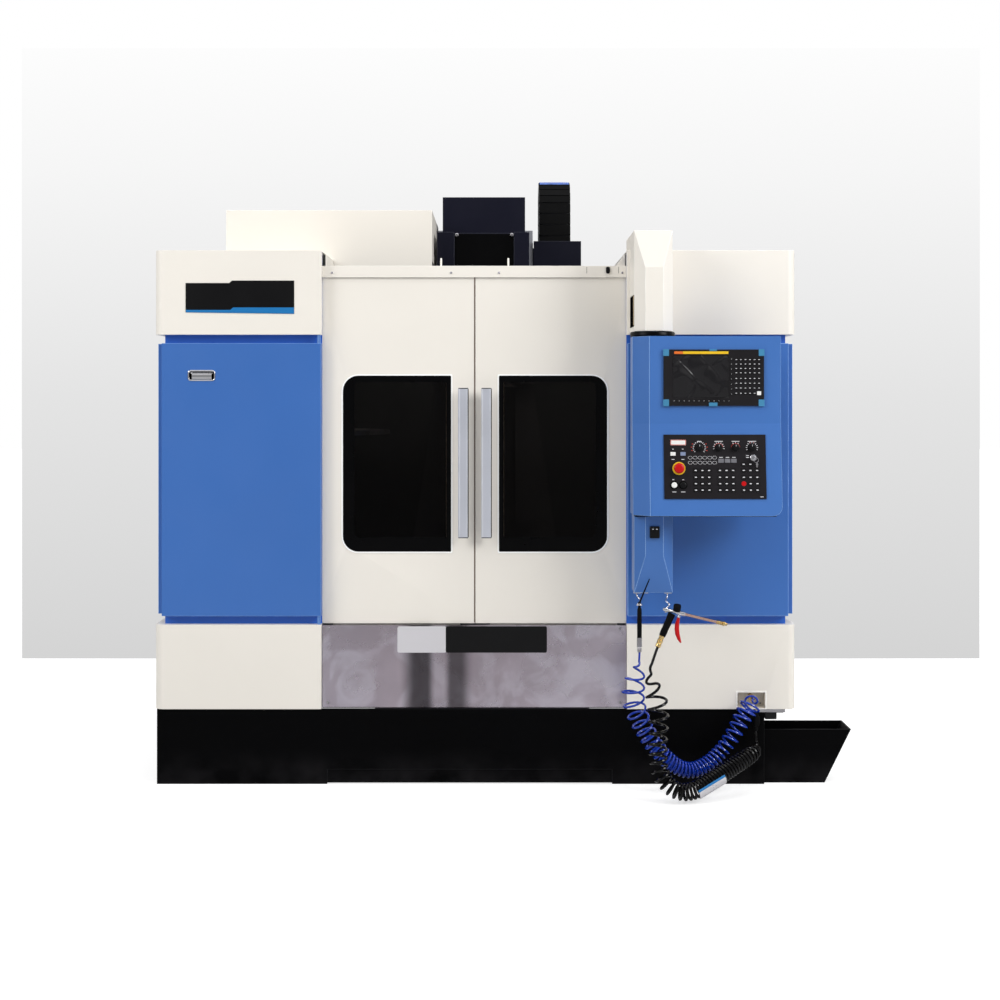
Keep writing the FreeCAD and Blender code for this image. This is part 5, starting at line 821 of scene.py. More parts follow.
def on_console(shape):
    """Drawn (across, depth, up) becomes a place on the console, which leans back by its tilt: up
    runs along its face and depth square to it."""
    points, faces = shape
    across, out, up = points[:, 0], -points[:, 1], points[:, 2] + PANEL_FOOT
    lean, rise = math.sin(CONSOLE_LEAN), math.cos(CONSOLE_LEAN)
    x, y, z = CONSOLE_CORNER
    return np.c_[x + across, y + up * lean - out * rise, z + up * rise + out * lean], faces


def tilted(name, shapes, material, body="pendant", instead=(), smooth=35):
    """A piece whose shapes are drawn upright and laid on the console."""
    return piece(name, [on_console(s) for s in shapes], material, body, instead, smooth)


FACE = -4.0
panel_film = finish_of("panel_film", colour(24, 21, 25), 0.40, spread=0.06, clouds=9.0,
                       Specular_IOR_Level=0.25)
red = finish_of("red_plastic", colour(188, 3, 10), 0.3, spread=0.05, Specular_IOR_Level=0.3)
grey_key = finish_of("grey_key", colour(128, 140, 170), 0.36, spread=0.06)
grey_lens = finish_of("grey_lens", colour(112, 112, 118), 0.25, spread=0.12, clouds=60.0)
legend_red = finish_of("legend_red", colour(200, 60, 44), 0.5, spread=0.05)
softened("operator_panel", 0.8, panel_film, panel_film)
KEY_ROWS = (109.5, 83.3, 58.6, 33.9)
RED_KEY = (306.5, 58.6)
panel_keys = [(u, v, 17, 15) for u in (121.7, 147.4, 173.2, 214.8, 240.2, 265.6)
              for v in KEY_ROWS]
panel_keys += [(u, v, 17, 15) for u in (306.5, 332.3, 358) for v in (133.4,) + KEY_ROWS
               if (u, v) != RED_KEY]
tilted("panel_keys", keys(panel_keys, FACE, 2.2), key_rubber)
tilted("panel_key_legends", dashes(panel_keys, FACE - 2.3, 0.50, 4.0), legend_white)
tilted("panel_red_key", [lathe([(9.5, 3.6), (9.5, 5.2), (8.4, 6.4), (2, 6.8)],
                               (RED_KEY[0], 0, RED_KEY[1]), (0, -1, 0), 24)], red)
tilted("panel_square_keys", keys([(35.4, 173.5, 20, 14)], FACE, 1.6), white_key)
tilted("panel_grey_key", keys([(73.9, 173.5, 20, 14)], FACE, 1.6), grey_key)
octagon = np.array([(math.cos(a), math.sin(a)) for a in np.arange(8) * math.pi / 4 + math.pi / 8])


def lamp_window(u, v):
    """The printed outline of a lamp: a ring between two flat octagons."""
    outer, inner = octagon * (9.0, 6.6) + (u, v), octagon * (8.0, 5.7) + (u, v)
    return band(outer, inner, FACE - 0.35, FACE + 0.1)


tilted("panel_lamp_outlines", [lamp_window(101.6 + 18.7 * k, v) for k in range(6)
                               for v in (158.8, 139.6)], legend_white)
tilted("panel_digit_windows",
       [plate(u - 10.5, u + 10.5, 139.5, 154.5, FACE - 0.6, FACE + 0.1, 1, 0.2)
        for u in (220, 245, 269.5)], grey_lens)
tilted("panel_blank_label", [plate(26, 86, 207, 228, FACE - 0.4, FACE + 0.1, 1.5, 0.1)],
       white_key)
tilted("panel_label_line", [band(rounded_rectangle(26.5, 85.5, 207.5, 227.5, 1.5),
                                 rounded_rectangle(28.5, 83.5, 209.5, 225.5, 1.0), FACE - 0.6,
                                 FACE - 0.3)], legend_red)
small = [(35.4, 192, 7, 4), (73.1, 192, 7, 4), (35.4, 152, 13, 4), (73.1, 152, 13, 4),
         (35.4, 74, 8, 3), (73.1, 74, 8, 3), (38.5, 27, 18, 4), (73, 27, 18, 4), (375, 8, 14, 3)]
small += [(u, 222, w, 3) for u, w in ((137, 18), (212, 36), (277, 34), (340, 36))]
small += [(322, 167, 12, 3), (322, 160, 12, 3)] + [(u, 160, 15, 3) for u in (220, 245, 269.5)]
tilted("panel_legends", dashes(small, FACE - 0.35, 0.9, 2.6), legend_white)


def dial(u, v, radius, first, last, count):
    """Printed ticks on an arc about a knob: short bars that point at its axis, in equal steps
    between two angles (degrees from straight up)."""
    marks = []
    for turn in np.linspace(first, last, count):
        along = np.array([math.sin(math.radians(turn)), 0, math.cos(math.radians(turn))])
        aside = np.array([along[2], 0, -along[0]])
        middle = np.array([u, FACE - 0.35, v]) + along * radius
        corners = [middle + aside * 1.3 * side + along * 2.4 * end
                   for side, end in ((-1, -1), (1, -1), (1, 1), (-1, 1))]
        marks.append(prism(corners, (0, 0.4, 0)))
    return marks


def swept_mark(u, v, radius, width):
    """A printed band that runs round the top of a knob, 80 degrees to each side."""
    arc = np.radians(np.linspace(-80, 80, 17))
    outer = np.c_[u + (radius + width) * np.sin(arc), v + (radius + width) * np.cos(arc)]
    inner = np.c_[u + radius * np.sin(arc), v + radius * np.cos(arc)][::-1]
    return flat_outline(np.concatenate([outer, inner]), FACE - 0.3, 0.35)


KNOB_V = 197
FEED_U, SPINDLE_U, RAPID_U, MODE_U = 137, 212, 277, 340
tilted("knob_dials", dial(FEED_U, KNOB_V, 23, -130, 130, 15)
       + dial(SPINDLE_U, KNOB_V, 20, -100, 100, 9) + dial(RAPID_U, KNOB_V, 20, -30, 30, 3)
       + dial(MODE_U, KNOB_V, 21, -110, 110, 11), legend_white)
tilted("knob_red_marks", [swept_mark(SPINDLE_U, KNOB_V, 16.6, 1.2),
                          swept_mark(RAPID_U, KNOB_V, 16.6, 1.2)]
       + dial(FEED_U, KNOB_V, 30, 60, 110, 3) + dial(FEED_U, KNOB_V, 30, -110, -60, 3)
       + dial(MODE_U, KNOB_V, 21, -20, 20, 2), legend_red)

# ---- Controls that turn and press ----
# Emergency stop with a yellow collar, white and black push buttons in rubber bezels, and four
# fluted plastic knobs with a pointer each. Each of them turns or presses on its own.
def turned(u, v, profile, sides=32, **waves):
    """Round control about an axis square to the panel: (radius, height over it) rings."""
    return lathe(profile, (u, 0, v), (0, -1, 0), sides, **waves)


STOP_U, STOP_V = 57, 117
tilted("stop_collar", [turned(STOP_U, STOP_V, [(25.5, 3.5), (25.5, 6.5), (24, 8), (14, 8),
                                               (12.5, 6.5), (9, 6.5)], 40)], yellow)
tilted("stop_head", [turned(STOP_U, STOP_V, [(6.8, -20), (6.8, 13), (16.5, 14.2), (19.9, 16),
                                             (20.2, 19), (19.8, 23), (17.4, 26.2), (12, 27.6),
                                             (5, 28.0), (0.6, 28.05)], 40)], red,
       "estop", ["estop_button"], 50)
for name, u, cap, slot in (("start", 38.5, white_key, "green_plastic"),
                           ("hold", 73.0, black_plastic, "black_plastic")):
    tilted(name + "_bezel", [turned(u, 53, [(16.5, 3.9), (16.5, 5.4), (15.4, 6.4), (11.5, 6.4),
                                            (11.4, 5)])], dark_rubber)
    tilted(name + "_cap", [turned(u, 53, [(10.9, -15.5), (10.9, 10.4), (10.0, 11.6),
                                          (7.5, 12.0), (0.5, 11.4)])], cap, name,
           [name + "_button"], 50)
for name, u in (("feed", FEED_U), ("spindle", SPINDLE_U), ("rapid", RAPID_U), ("mode", MODE_U)):
    grip = [turned(u, KNOB_V, [(3.6, -13), (3.6, 4.8), (14.6, 5), (15, 6), (14.8, 8.2),
                               (12.4, 9)], 36),
            turned(u, KNOB_V, [(12.3, 8.6), (12, 16.4), (11, 17.6), (8, 18), (0.5, 17.7)], 48,
                   waves=12, depth=0.035)]
    tilted(name + "_knob_grip", grip, black_plastic, "knob_" + name,
           [name + "_knob"], 40)
    tilted(name + "_knob_pointer", [plate(u - 0.7, u + 0.7, 201, 208, -18.3, -17.8, 0.3, 0.1)],
           legend_white, "knob_" + name)

# ---- Key switch ----
# Chromed lock barrel in its bezel at the panel's right. A flat steel tag hangs from the key on a
# ring of bent wire, and turns with it.
def unit(rows):
    """Each row shortened to length one."""
    return rows / np.linalg.norm(rows, axis=-1, keepdims=True)


def tube_rings(path, radius, aside, sides):
    """A ring of corners round each point of a path: the point, plus radius times the cosine of the
    corner's angle along one direction square to the path and the sine along the other. The first
    direction is as near to aside as it can be."""
    along = unit(np.gradient(path, axis=0))
    first = unit(aside - along * (aside * along).sum(1, keepdims=True))
    second = np.cross(along, first)
    angle = np.linspace(0, 2 * math.pi, sides, endpoint=False)[None, :, None]
    radius = np.broadcast_to(radius, len(path))[:, None, None]
    return path[:, None] + radius * (first[:, None] * np.cos(angle)
                                     + second[:, None] * np.sin(angle))


def strut(places, radius, sides=10):
    """Bent rod: a ring of corners round each of the places that it runs through."""
    path = np.array(places, float)
    aside = np.array([0.31, 0.84, 0.43])
    return joined_rings(tube_rings(path, radius, aside, sides))


chrome = finish_of("chrome", colour(214, 214, 218), 0.10, metal=1.0, spread=0.03)
RING_U, RING_V, RING_RADIUS, RING_POINTS = 352, 148, 9, 24
ring = np.radians(np.linspace(0, 350, RING_POINTS))
softened("key_switch", 0.5, chrome, chrome)
tilted("key_ring", [strut(np.c_[RING_U + RING_RADIUS * np.cos(ring), np.full(RING_POINTS, -22.0),
                                RING_V + RING_RADIUS * np.sin(ring)], 0.9, 8),
                    plate(352, 358, 120, 140, -23.4, -21.8, 3, 0.4)],
       screw_steel, "key")
tilted("key_bezel", [turned(345, 159, [(12, 3.9), (12, 5.0), (11, 5.8), (9.6, 5.8)], 28)],
       chrome)

# ---- Air gun ----
# Slim blow gun, hung nose up from its hook: a black moulded body with a bent thin nozzle, a
# knurled steel tail with a hexagon under it, and a steel stop ring.
def between(start, end, profile, sides=24):
    """Round piece along the line between two places: (radius, share of the way) rings."""
    start, end = np.array(start, float), np.array(end, float)
    long = np.linalg.norm(end - start)
    return lathe([(r, share * long) for r, share in profile], start, end - start, sides)


def ribs(low, high, count):
    """The profile of a knurled sleeve: the radius steps up and down once for each rib."""
    profile = [(low * 0.8, 0.0)]
    for k in range(count):
        profile += [(radius, (k + 0.15) / count + on / count)
                    for radius, on in ((low, 0), (high, 0.25), (high, 0.5), (low, 0.75))]
    return profile + [(low * 0.8, 1.0)]


AIR_X, GUN_Y = 528.5, -1180.0


def on_air_gun(foot, top, profile, sides=24):
    """Round piece on the air gun's upright line, between two heights."""
    return between((AIR_X, GUN_Y, foot), (AIR_X, GUN_Y, top), profile, sides)


piece("air_gun_body",
      [between((AIR_X, GUN_Y, 768), (567.7, GUN_Y, 861.8),
               [(3.6, 0), (3.4, 0.1), (2.4, 0.9), (1.8, 1)], 16),
       on_air_gun(628, 772, [(7, 0), (9, 0.03), (9.3, 0.5), (8.6, 0.8), (5.6, 0.86), (5.4, 1)])],
      dark_rubber, "pendant", smooth=40)
air_tail = piece("air_gun_tail",
                 [on_air_gun(596, 634, ribs(8.6, 10.6, 5)),
                  on_air_gun(576, 598, [(5.5, 0), (9.4, 0.1), (9.4, 0.8), (7, 1)], 6)],
                 screw_steel, "pendant", ["air_gun"], 40)
piece("air_gun_stop", [on_air_gun(764.5, 768.5, [(6, 0), (8, 0.2), (8, 0.8), (6, 1)])],
      screw_steel, "pendant", smooth=40)

# ---- Water gun ----
# Wash gun of chromed and bare brass: a barrel with a copper-toned tube and a knurled brass nozzle,
# a black rubber grip, a red lever on its pin, and a brass nut where the hose starts.
REAR, TIP = np.array([620, GUN_Y, 745.0]), np.array([869, GUN_Y, 684.6])
BARREL = (TIP - REAR) / np.linalg.norm(TIP - REAR)


def on_barrel(first, last, profile, sides=24):
    """Round piece on the barrel's line, between two distances from its rear."""
    return between(REAR + BARREL * first, REAR + BARREL * last, profile, sides)


def oval(middle, wide, deep, side, power=1.0):
    """A ring about a place: along side by wide times the cosine of the angle, and along Y by deep
    times its sine. A power below one, taken of each, squares the ring's corners."""
    turn = np.linspace(0, 2 * math.pi, 24, endpoint=False)
    cosine, sine = (np.sign(share) * abs(share) ** power for share in (np.cos(turn), np.sin(turn)))
    return (np.array(middle) + np.outer(cosine * wide, side)
            + np.outer(sine * deep, (0, 1, 0)))


brass = finish_of("brass", colour(222, 192, 130), 0.22, metal=1.0, spread=0.08, clouds=60.0)
copper = finish_of("copper_chrome", colour(214, 176, 160), 0.16, metal=1.0, spread=0.08,
                   clouds=30.0)
piece("water_gun_body",
      [on_barrel(0, 12, [(3, 0), (6.4, 0.2), (7.6, 0.7), (7.8, 1)]),
       on_barrel(10, 88, [(7.7, 0), (7.7, 0.25), (6.6, 0.3), (6.6, 0.6), (8.2, 0.64), (8.2, 1)]),
       between((681, -1193.5, 716), (681, -1166.5, 716),
               [(4, 0), (5.2, 0.04), (5.2, 0.96), (4, 1)], 16)],
      chrome, "pendant", smooth=40)
piece("water_gun_lance",
      [on_barrel(214, 238, ribs(6.8, 8.8, 3)),
       on_barrel(238, 257, [(5, 0), (9.2, 0.1), (9.2, 0.45), (6.4, 0.6), (6.0, 1), (2.2, 1.0)]),
       between((617, GUN_Y, 640), (611, GUN_Y, 626), [(10.6, 0), (10.8, 0.5), (8.8, 1)])],
      brass, "pendant", smooth=40)
piece("water_gun_tube", [on_barrel(86, 218, [(5.6, 0), (5.6, 1)], 20)], copper, "pendant",
      smooth=40)
water_nut = piece("water_gun_nut",
                  [between((611.5, GUN_Y, 627), (599, GUN_Y, 595),
                           [(8, 0), (11.6, 0.08), (11.6, 0.4), (9, 0.46), (11, 0.54), (11, 0.9),
                            (7, 1)], 12)],
                  brass, "pendant", ["water_gun"], 40)
GRIP_TOP, GRIP_FOOT = np.array([655, GUN_Y, 727.0]), np.array([615.6, GUN_Y, 637.0])
HAND = ((0.0, 15.2, 11.6), (0.12, 14.4, 11.4), (0.30, 13.2, 10.8), (0.45, 14.0, 11.2),
        (0.62, 13.0, 10.6), (0.80, 13.8, 11.0), (0.95, 12.6, 10.2), (1.0, 10.2, 8.6))
down = (GRIP_FOOT - GRIP_TOP) / np.linalg.norm(GRIP_FOOT - GRIP_TOP)
across_grip = np.array([-down[2], 0, down[0]])
piece("water_gun_grip",
      [joined_rings(np.array([oval(GRIP_TOP + (GRIP_FOOT - GRIP_TOP) * share, wide, deep,
                                   across_grip, 0.8) for share, wide, deep in HAND])),
       between((673.5, GUN_Y, 733), (677.2, GUN_Y, 765),
               [(9, 0), (14, 0.1), (14.8, 0.3), (14.8, 0.8), (12, 0.95), (4, 1)])],
      dark_rubber, "pendant", smooth=50)
LEVER = (((681, 716), 4.5, 9.0), ((679, 704), 6.5, 9.5), ((675.5, 688), 8.5, 9.0),
         ((674, 668), 9.2, 9.0), ((676.5, 646), 8.6, 8.0), ((683, 626), 6.6, 7.0),
         ((689, 613), 3.0, 4.0))
lever = piece("water_gun_lever",
              [joined_rings(np.array([oval((x, GUN_Y, z), wide, deep, (1, 0, 0.1))
                                      for (x, z), wide, deep in LEVER]))],
              red, "trigger", ["water_trigger"], 60)

# ---- Gun hooks ----
# Two hooks of bent chromed wire under the bracket, each on a small plate with a screw, and the
# rings that they hold the guns by.
def smooth_line(name, corners, steps=40):
    """Points of the NURBS spline that has the given corners (mm), in metres."""
    curve = bpy.data.curves.new(name, "CURVE")
    curve.dimensions = "3D"
    spline = curve.splines.new("NURBS")
    spline.points.add(len(corners) - 1)
    spline.points.foreach_set("co", np.c_[corners * MM, np.ones(len(corners))].ravel())
    spline.order_u = 3
    spline.use_endpoint_u = True
    spline.resolution_u = steps
    holder = bpy.data.objects.new(name, curve)
    line = bpy.data.meshes.new_from_object(holder)
    points = np.empty(len(line.vertices) * 3)
    line.vertices.foreach_get("co", points)
    bpy.data.objects.remove(holder)
    return points.reshape(-1, 3)


for name, places in (
        ("air_hook", [(520, -1150, 803), (520, -1150, 792), (530, -1157, 782), (536, -1168, 776),
                      (528, -1178, 768), (519, -1182, 762), (521, -1171, 757), (529, -1170, 759),
                      (537, -1174, 761), (538, -1184, 762), (530, -1190.5, 762),
                      (521, -1189, 761)]),
        ("water_hook", [(641, -1150, 803), (641, -1151, 790), (634, -1160, 780),
                        (632, -1170, 774), (640, -1178, 768), (646, -1181, 761),
                        (640, -1183, 755), (632, -1188, 750), (630, -1191, 742),
                        (634, -1184, 732.5), (636, -1174, 733)])):
    wire = smooth_line(name + "_line", np.array(places, float), 6) / MM
    piece(name + "_wire", [strut(wire, 2.5)], chrome, "pendant", smooth=80)
piece("hook_plates",
      [plate(x0, x1, 802, 805, -1156, -1126, 1, 0.5) for x0, x1 in ((509, 566), (628, 657))]
      + screws([(4.5, 0), (4.5, 1.5), (2, 2.4)], [(x, -1134, 802) for x in (553, 647)],
               (0, 0, -1), 12)
      + [lathe([(5.9, -2.5), (9.8, -2.4), (10, -1.5), (10, 1.5), (9.8, 2.4), (5.9, 2.5)],
               (AIR_X, GUN_Y, 761.4), (0, 0, 1), 24),
         lathe([(8.4, -3), (11.2, -2.9), (11.5, -2), (11.5, 2), (11.2, 2.9), (8.4, 3)],
               REAR + BARREL * 12, BARREL, 24)],
      chrome, "pendant", ["gun_hooks"], 40)

# ---- Coupler and valve ----
# Brass quick coupler for the air, with a hexagon and a knurled collar, and a black water valve
# with a hand lever. Both are screwed into the machine's front.
COUPLER_X, COUPLER_Z = 1010, 346
VALVE_X, VALVE_Y, VALVE_Z = 1016, -984, 272


def out_of_front(x, z, back, front, profile, sides=24):
    """Round piece that points straight out of the machine's front, between two depths."""
    return between((x, back, z), (x, front, z), profile, sides)


piece("air_coupler_body",
      [out_of_front(COUPLER_X, COUPLER_Z, -880, -908,
                    [(12, 0), (12, 0.1), (10.5, 0.16), (10.5, 1)], 6),
       out_of_front(COUPLER_X, COUPLER_Z, -906, -934, ribs(11.4, 13.3, 5)),
       out_of_front(COUPLER_X, COUPLER_Z, -932, -946,
                    [(11, 0), (12.4, 0.2), (9, 0.5), (7.5, 1.0)])],
      brass, "machine", ["air_coupler"], 40)
piece("water_valve_body",
      [out_of_front(VALVE_X, VALVE_Z, -940, VALVE_Y,
                    [(20, 0), (20, 0.12), (12, 0.18), (11.5, 1)]),
       between((VALVE_X, VALVE_Y, 226), (VALVE_X, VALVE_Y, 288),
               [(6, 0), (8.8, 0.04), (8.8, 0.3), (14, 0.36), (16.5, 0.5), (16.5, 0.9), (11, 1)],
               12)],
      dark_rubber, "machine", ["water_valve"], 40)
piece("water_valve_lever", [plate(VALVE_X - 7, VALVE_X + 7, 246, 300, -1010.0, -1005, 4, 1),
                            out_of_front(VALVE_X, 276, -1008, -982, [(4, 0), (4, 1)], 12)],
      dark_rubber, "machine")

# ---- Curly hoses ----
# Blue air hose and black water hose, each a polyurethane tube wound on a mandrel and set with
# heat, so that it springs back into curls. One end is on its gun, the other on the machine. A
# route's rows hold a place, the coil's radius and the length of a turn there.
AIR_ROUTE = np.array([
    (528.5, -1180, 576, 0, 50), (528.5, -1180, 536, 0, 50), (516, -1172, 486, 34, 50),
    (505, -1165, 432, 43, 50), (505, -1156, 384, 43, 50), (518, -1146, 340, 40, 46),
    (536, -1132, 298, 38, 40), (559, -1122, 254, 36, 34), (586, -1116, 206, 34, 27),
    (625, -1112, 158, 31, 20), (678, -1108, 112, 29, 16), (735, -1100, 92, 28, 15),
    (795, -1085, 108, 28, 16), (850, -1065, 146, 28, 19), (900, -1045, 200, 29, 30),
    (938, -1030, 258, 32, 36), (966, -1020, 306, 36, 30), (994, -1014, 344, 41, 26),
    (1010, -985, 346, 6, 40), (1010, -946, 346, 0, 50)], float)
WATER_ROUTE = np.array([
    (599, -1180, 595, 0, 60), (572, -1192, 528, 0, 60), (560, -1216, 474, 12, 58),
    (586, -1222, 430, 36, 58), (597, -1224, 370, 38, 54), (597, -1228, 310, 37, 48),
    (595, -1230, 250, 35, 40), (594, -1234, 186, 33, 34), (600, -1240, 128, 31, 30),
    (626, -1240, 78, 30, 26), (672, -1240, 46, 29, 20), (730, -1226, 44, 30, 15),
    (800, -1196, 72, 31, 13.5), (870, -1158, 108, 30, 13.5), (936, -1120, 138, 30, 14),
    (980, -1085, 156, 28, 18), (1008, -1045, 160, 18, 34), (1017, -1004, 168, 6, 44),
    (1016, -985, 192, 0, 50), (1016, -984, 226, 0, 50)], float)
STEPS_A_TURN = 16
TUBE_SIDES = 10
# The shares of a route where the curls begin to turn side-on, and over which they do.
SIDE_ON_FROM, SIDE_ON_OVER = 0.80, 0.12


def curl(name, route):
    """The line of a curly tube. It runs round its route's spline at a distance that the route's
    fourth column gives, one turn for each length in the fifth. A point is the spline's place plus
    the coil radius times the cosine of its angle along one direction square to the spline, and
    the sine along the other. The first direction is as near to the front as it can be, and near
    the route's end to the right. Also gives the outward directions, for the tube's rings."""
    centre = smooth_line(name + "_line", route[:, :3])
    last = len(route) - 2
    stations = np.r_[0, np.arange(0.5, last, 1), last]
    share = np.linspace(0, last, len(centre))
    coil = np.interp(share, stations, route[:, 3]) * MM
    pitch = np.interp(share, stations, route[:, 4]) * MM
    along = unit(np.gradient(centre, axis=0))
    late = np.clip((share / last - SIDE_ON_FROM) / SIDE_ON_OVER, 0, 1)[:, None]
    aside = np.array([0, -1, 0]) * (1 - late) + np.array([1.0, 0, 0]) * late
    first = unit(aside - along * (aside * along).sum(1, keepdims=True))
    second = np.cross(along, first)
    run = np.r_[0, np.linalg.norm(np.diff(centre, axis=0), axis=1)]
    turns = np.cumsum(run / pitch)
    fine = np.linspace(0, turns[-1], int(turns[-1] * STEPS_A_TURN))

    def at(rows):
        """What the route's rows hold, read at each fine step of turn along straight lines."""
        return np.stack([np.interp(fine, turns, rows[:, k]) for k in range(3)], axis=1)

    angle = (fine * 2 * math.pi)[:, None]
    out = unit(at(first)) * np.cos(angle) + unit(at(second)) * np.sin(angle)
    return at(centre) + np.interp(fine, turns, coil)[:, None] * out, out


def make_hose(name, route, radius):
    """A round tube along a curl, with one ring of ten corners at each of its points. Its radius is
    the same from end to end, so it fits both fittings. Also gives the tube's middle line."""
    path, outward = curl(name, route)
    points, faces = joined_rings(tube_rings(path, radius * MM, outward, TUBE_SIDES))
    return put_mesh(name, points / MM, faces), path


blue_hose = finish_of("blue_polyurethane", colour(5, 50, 162), 0.17, spread=0.1, clouds=30.0,
                      Coat_Weight=0.35)
black_hose = finish_of("black_polyurethane", colour(1, 1, 2), 0.14, spread=0.15, clouds=30.0,
                       Specular_IOR_Level=0.28)
for name, route, radius, material, ends in (
        ("air_hose", AIR_ROUTE, 4.4, blue_hose, [air_tail]),
        ("water_hose", WATER_ROUTE, 5.5, black_hose, [water_nut, lever])):
    hose, path = make_hose(name + "_curls", route, radius)
    hose.data.materials.append(material)
    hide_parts(name)
    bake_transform(hose)

# ---- Hose label ----
# A bare paper label with a printed blue edge, glued part of the way round the black hose's lower
# coils.
LABEL_THICK = 0.6
LABEL_FROM, LABEL_TO, LABEL_RADIUS = (736, -1223, 46.0), (845, -1172, 95.0), 37.5


def wrapped(start, end, radius, first, last, steps=14):
    """A strip of a tube's surface: rings of four corners at a radius about the line from start to
    end, turned from one angle to another (degrees from the front), with the label's thickness."""
    start, end = np.array(start, float), np.array(end, float)
    along = unit(end - start)
    front = unit(np.array([0, -1.0, 0]) - along * -along[1])
    aside = np.cross(along, front)
    turn = np.radians(np.linspace(first, last, steps))[:, None]
    out = front * np.cos(turn) + aside * np.sin(turn)
    outer = out * (radius + LABEL_THICK)
    rings = np.stack([start + out * radius, end + out * radius, end + outer, start + outer],
                     axis=1)
    return joined_rings(rings)


for name, first, last, material in (("hose_label", 6, 62, light_plate),
                                    ("hose_label_edge", -8, 5.5, blue_plate)):
    label = put_mesh(name, *wrapped(LABEL_FROM, LABEL_TO, LABEL_RADIUS, first, last),
                     math.radians(60))
    label.data.materials.append(material)
    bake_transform(label)

# ---- Cable chain ----
# Plastic energy chain over the head: closed lids, snapped on, span its two rows of side links, and
# a light blue stripe along the top of its bend is a painted highlight.
low, high = (np.array(corner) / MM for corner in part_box("drag_chain"))
chain_body = frame["nodes"]["drag_chain"]["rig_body"]
BEND_REACH, BEND_Z = 113.0, 2527.0
LINK_PITCH, LEG_FOOT = 54.5, 2200
bend_y = low[1] + BEND_REACH


def lid_on_bend(first, last, half_width, out=0.5, deep=4.5):
    """A lid across the bend between two angles (degrees), its ends on the bend's outer circle."""
    turns = np.radians([first, last])
    places = [(bend_y - (BEND_REACH + r) * math.cos(t), BEND_Z + (BEND_REACH + r) * math.sin(t))
              for r, t in ((out, turns[0]), (out, turns[1]), (-deep, turns[1]), (-deep, turns[0]))]
    middle = (low[0] + high[0]) / 2
    return prism([(middle - half_width, y, z) for y, z in places], (2 * half_width, 0, 0))


chain_highlight_blue = finish_of("chain_highlight_blue", colour(84, 116, 196), 0.35, spread=0.3, clouds=60.0)
lids = [plate(low[0] + 2, high[0] - 2, z + 3, z + 51.5, low[1] - 0.5, low[1] + 4, 2, 1)
        for z in LEG_FOOT + LINK_PITCH * np.arange(6)]
lids += [lid_on_bend(18 * k + 1, 18 * k + 17, 75.0) for k in range(10)]
piece("chain_lids", lids, dark_rubber, chain_body, smooth=30)
# Painted highlight: light blue plates along the top of the bend.
piece("chain_highlight_stripe", [lid_on_bend(58 + 8 * k, 64 + 8 * k, 72.0, 1.2, 0.2) for k in range(6)],
      chain_highlight_blue, chain_body)

# ---- Head cover's recess ----
# Thin matt black plate that fills the recessed middle of the head's front cover, glued flat and
# bare.
piece("cover_recess", [plate(-218, 46, 1650, 2306, -291.4, -289.6, 4, 0.4)], black_print_and_painted_shade, "head")

# ---- Access door latch ----
# Chromed flush latch, pressed into the door: a rolled rim, a dark well and a paddle that tilts
# out.
RIM_FACE = -949.6


def rolled_rim(x0, x1, z0, z1, radius, width, out):
    """Half-round rim about an upright rectangle: outlines drawn in by the width's share that goes
    with the cosine of a half turn, and raised by its sine."""
    rows = []
    for turn in np.linspace(0, math.pi, 7):
        drawn_in = width * (1 - math.cos(turn)) / 2
        line = rounded_rectangle(x0 + drawn_in, x1 - drawn_in, z0 + drawn_in, z1 - drawn_in,
                                 radius - drawn_in)
        raised = np.full(len(line), RIM_FACE - out * math.sin(turn))
        rows.append(np.c_[line[:, 0], raised, line[:, 1]])
    across_rim, count = np.arange(6)[:, None] * len(line), len(line)
    corner = np.arange(count)[None, :]
    beside = (corner + 1) % count
    faces = np.stack([across_rim + corner, across_rim + beside, across_rim + count + beside,
                      across_rim + count + corner], axis=-1)
    return np.concatenate(rows), faces.reshape(-1, 4).tolist()


piece("latch_rim", [rolled_rim(-1281, -1168, 1635.5, 1681, 13, 6.5, 3.4)], chrome, "access",
      smooth=60)
piece("latch_well", [plate(-1275.5, -1173.5, 1638.8, 1677.2, -931.4, -930.6, 6, 0.1),
                     band(rounded_rectangle(-1275.5, -1173.5, 1638.8, 1677.2, 6),
                          rounded_rectangle(-1274.7, -1174.3, 1639.6, 1676.4, 5.5), -949.7,
                          -931.0)], black_print_and_painted_shade, "access")
BLADE_FOOT, BLADE_HALF = 1643, 11.5
shell = np.linspace(0, math.pi, 9)
blade = [(-946.6 - 4.2 * math.sin(t), BLADE_FOOT + BLADE_HALF * (1 - math.cos(t))) for t in shell]
blade += [(-946.0, BLADE_FOOT + 2 * BLADE_HALF), (-946.0, BLADE_FOOT)]
piece("latch_blade", [prism([(-1264, y, z) for y, z in blade], (80, 0, 0)),
                      plate(-1270, -1180, 1666, 1670, -949.0, -945.8, 1.5, 0.6)], chrome, "latch",
      ["latch_paddle"], 50)

# ---- Arm slot ----
# Long slot in the pendant arm's side, with a black plate behind it that is painted shade for the
# slot's dark hollow, and a brass slide at its front end, screwed on from inside; both are plain
# plates.
def side_plate(x, y0, y1, z0, z1, thickness):
    """Plain plate square to X: its outline pushed to the right."""
    return prism([(x, y0, z0), (x, y1, z0), (x, y1, z1), (x, y0, z1)], (thickness, 0, 0))


# Painted shade: a black plate with no gloss where the slot's hollow is dark.
slot_shade_black = finish_of("painted_shade_black", colour(2, 2, 2), 0.95, spread=0.2, Specular_IOR_Level=0.0)
piece("arm_slot_liner", [side_plate(510.2, -1144, -974, 1850, 1971, 3)], slot_shade_black, "machine")
piece("arm_slot_slide", [side_plate(509.6, -1142, -1118, 1853, 1968, 2)], brass, "machine")

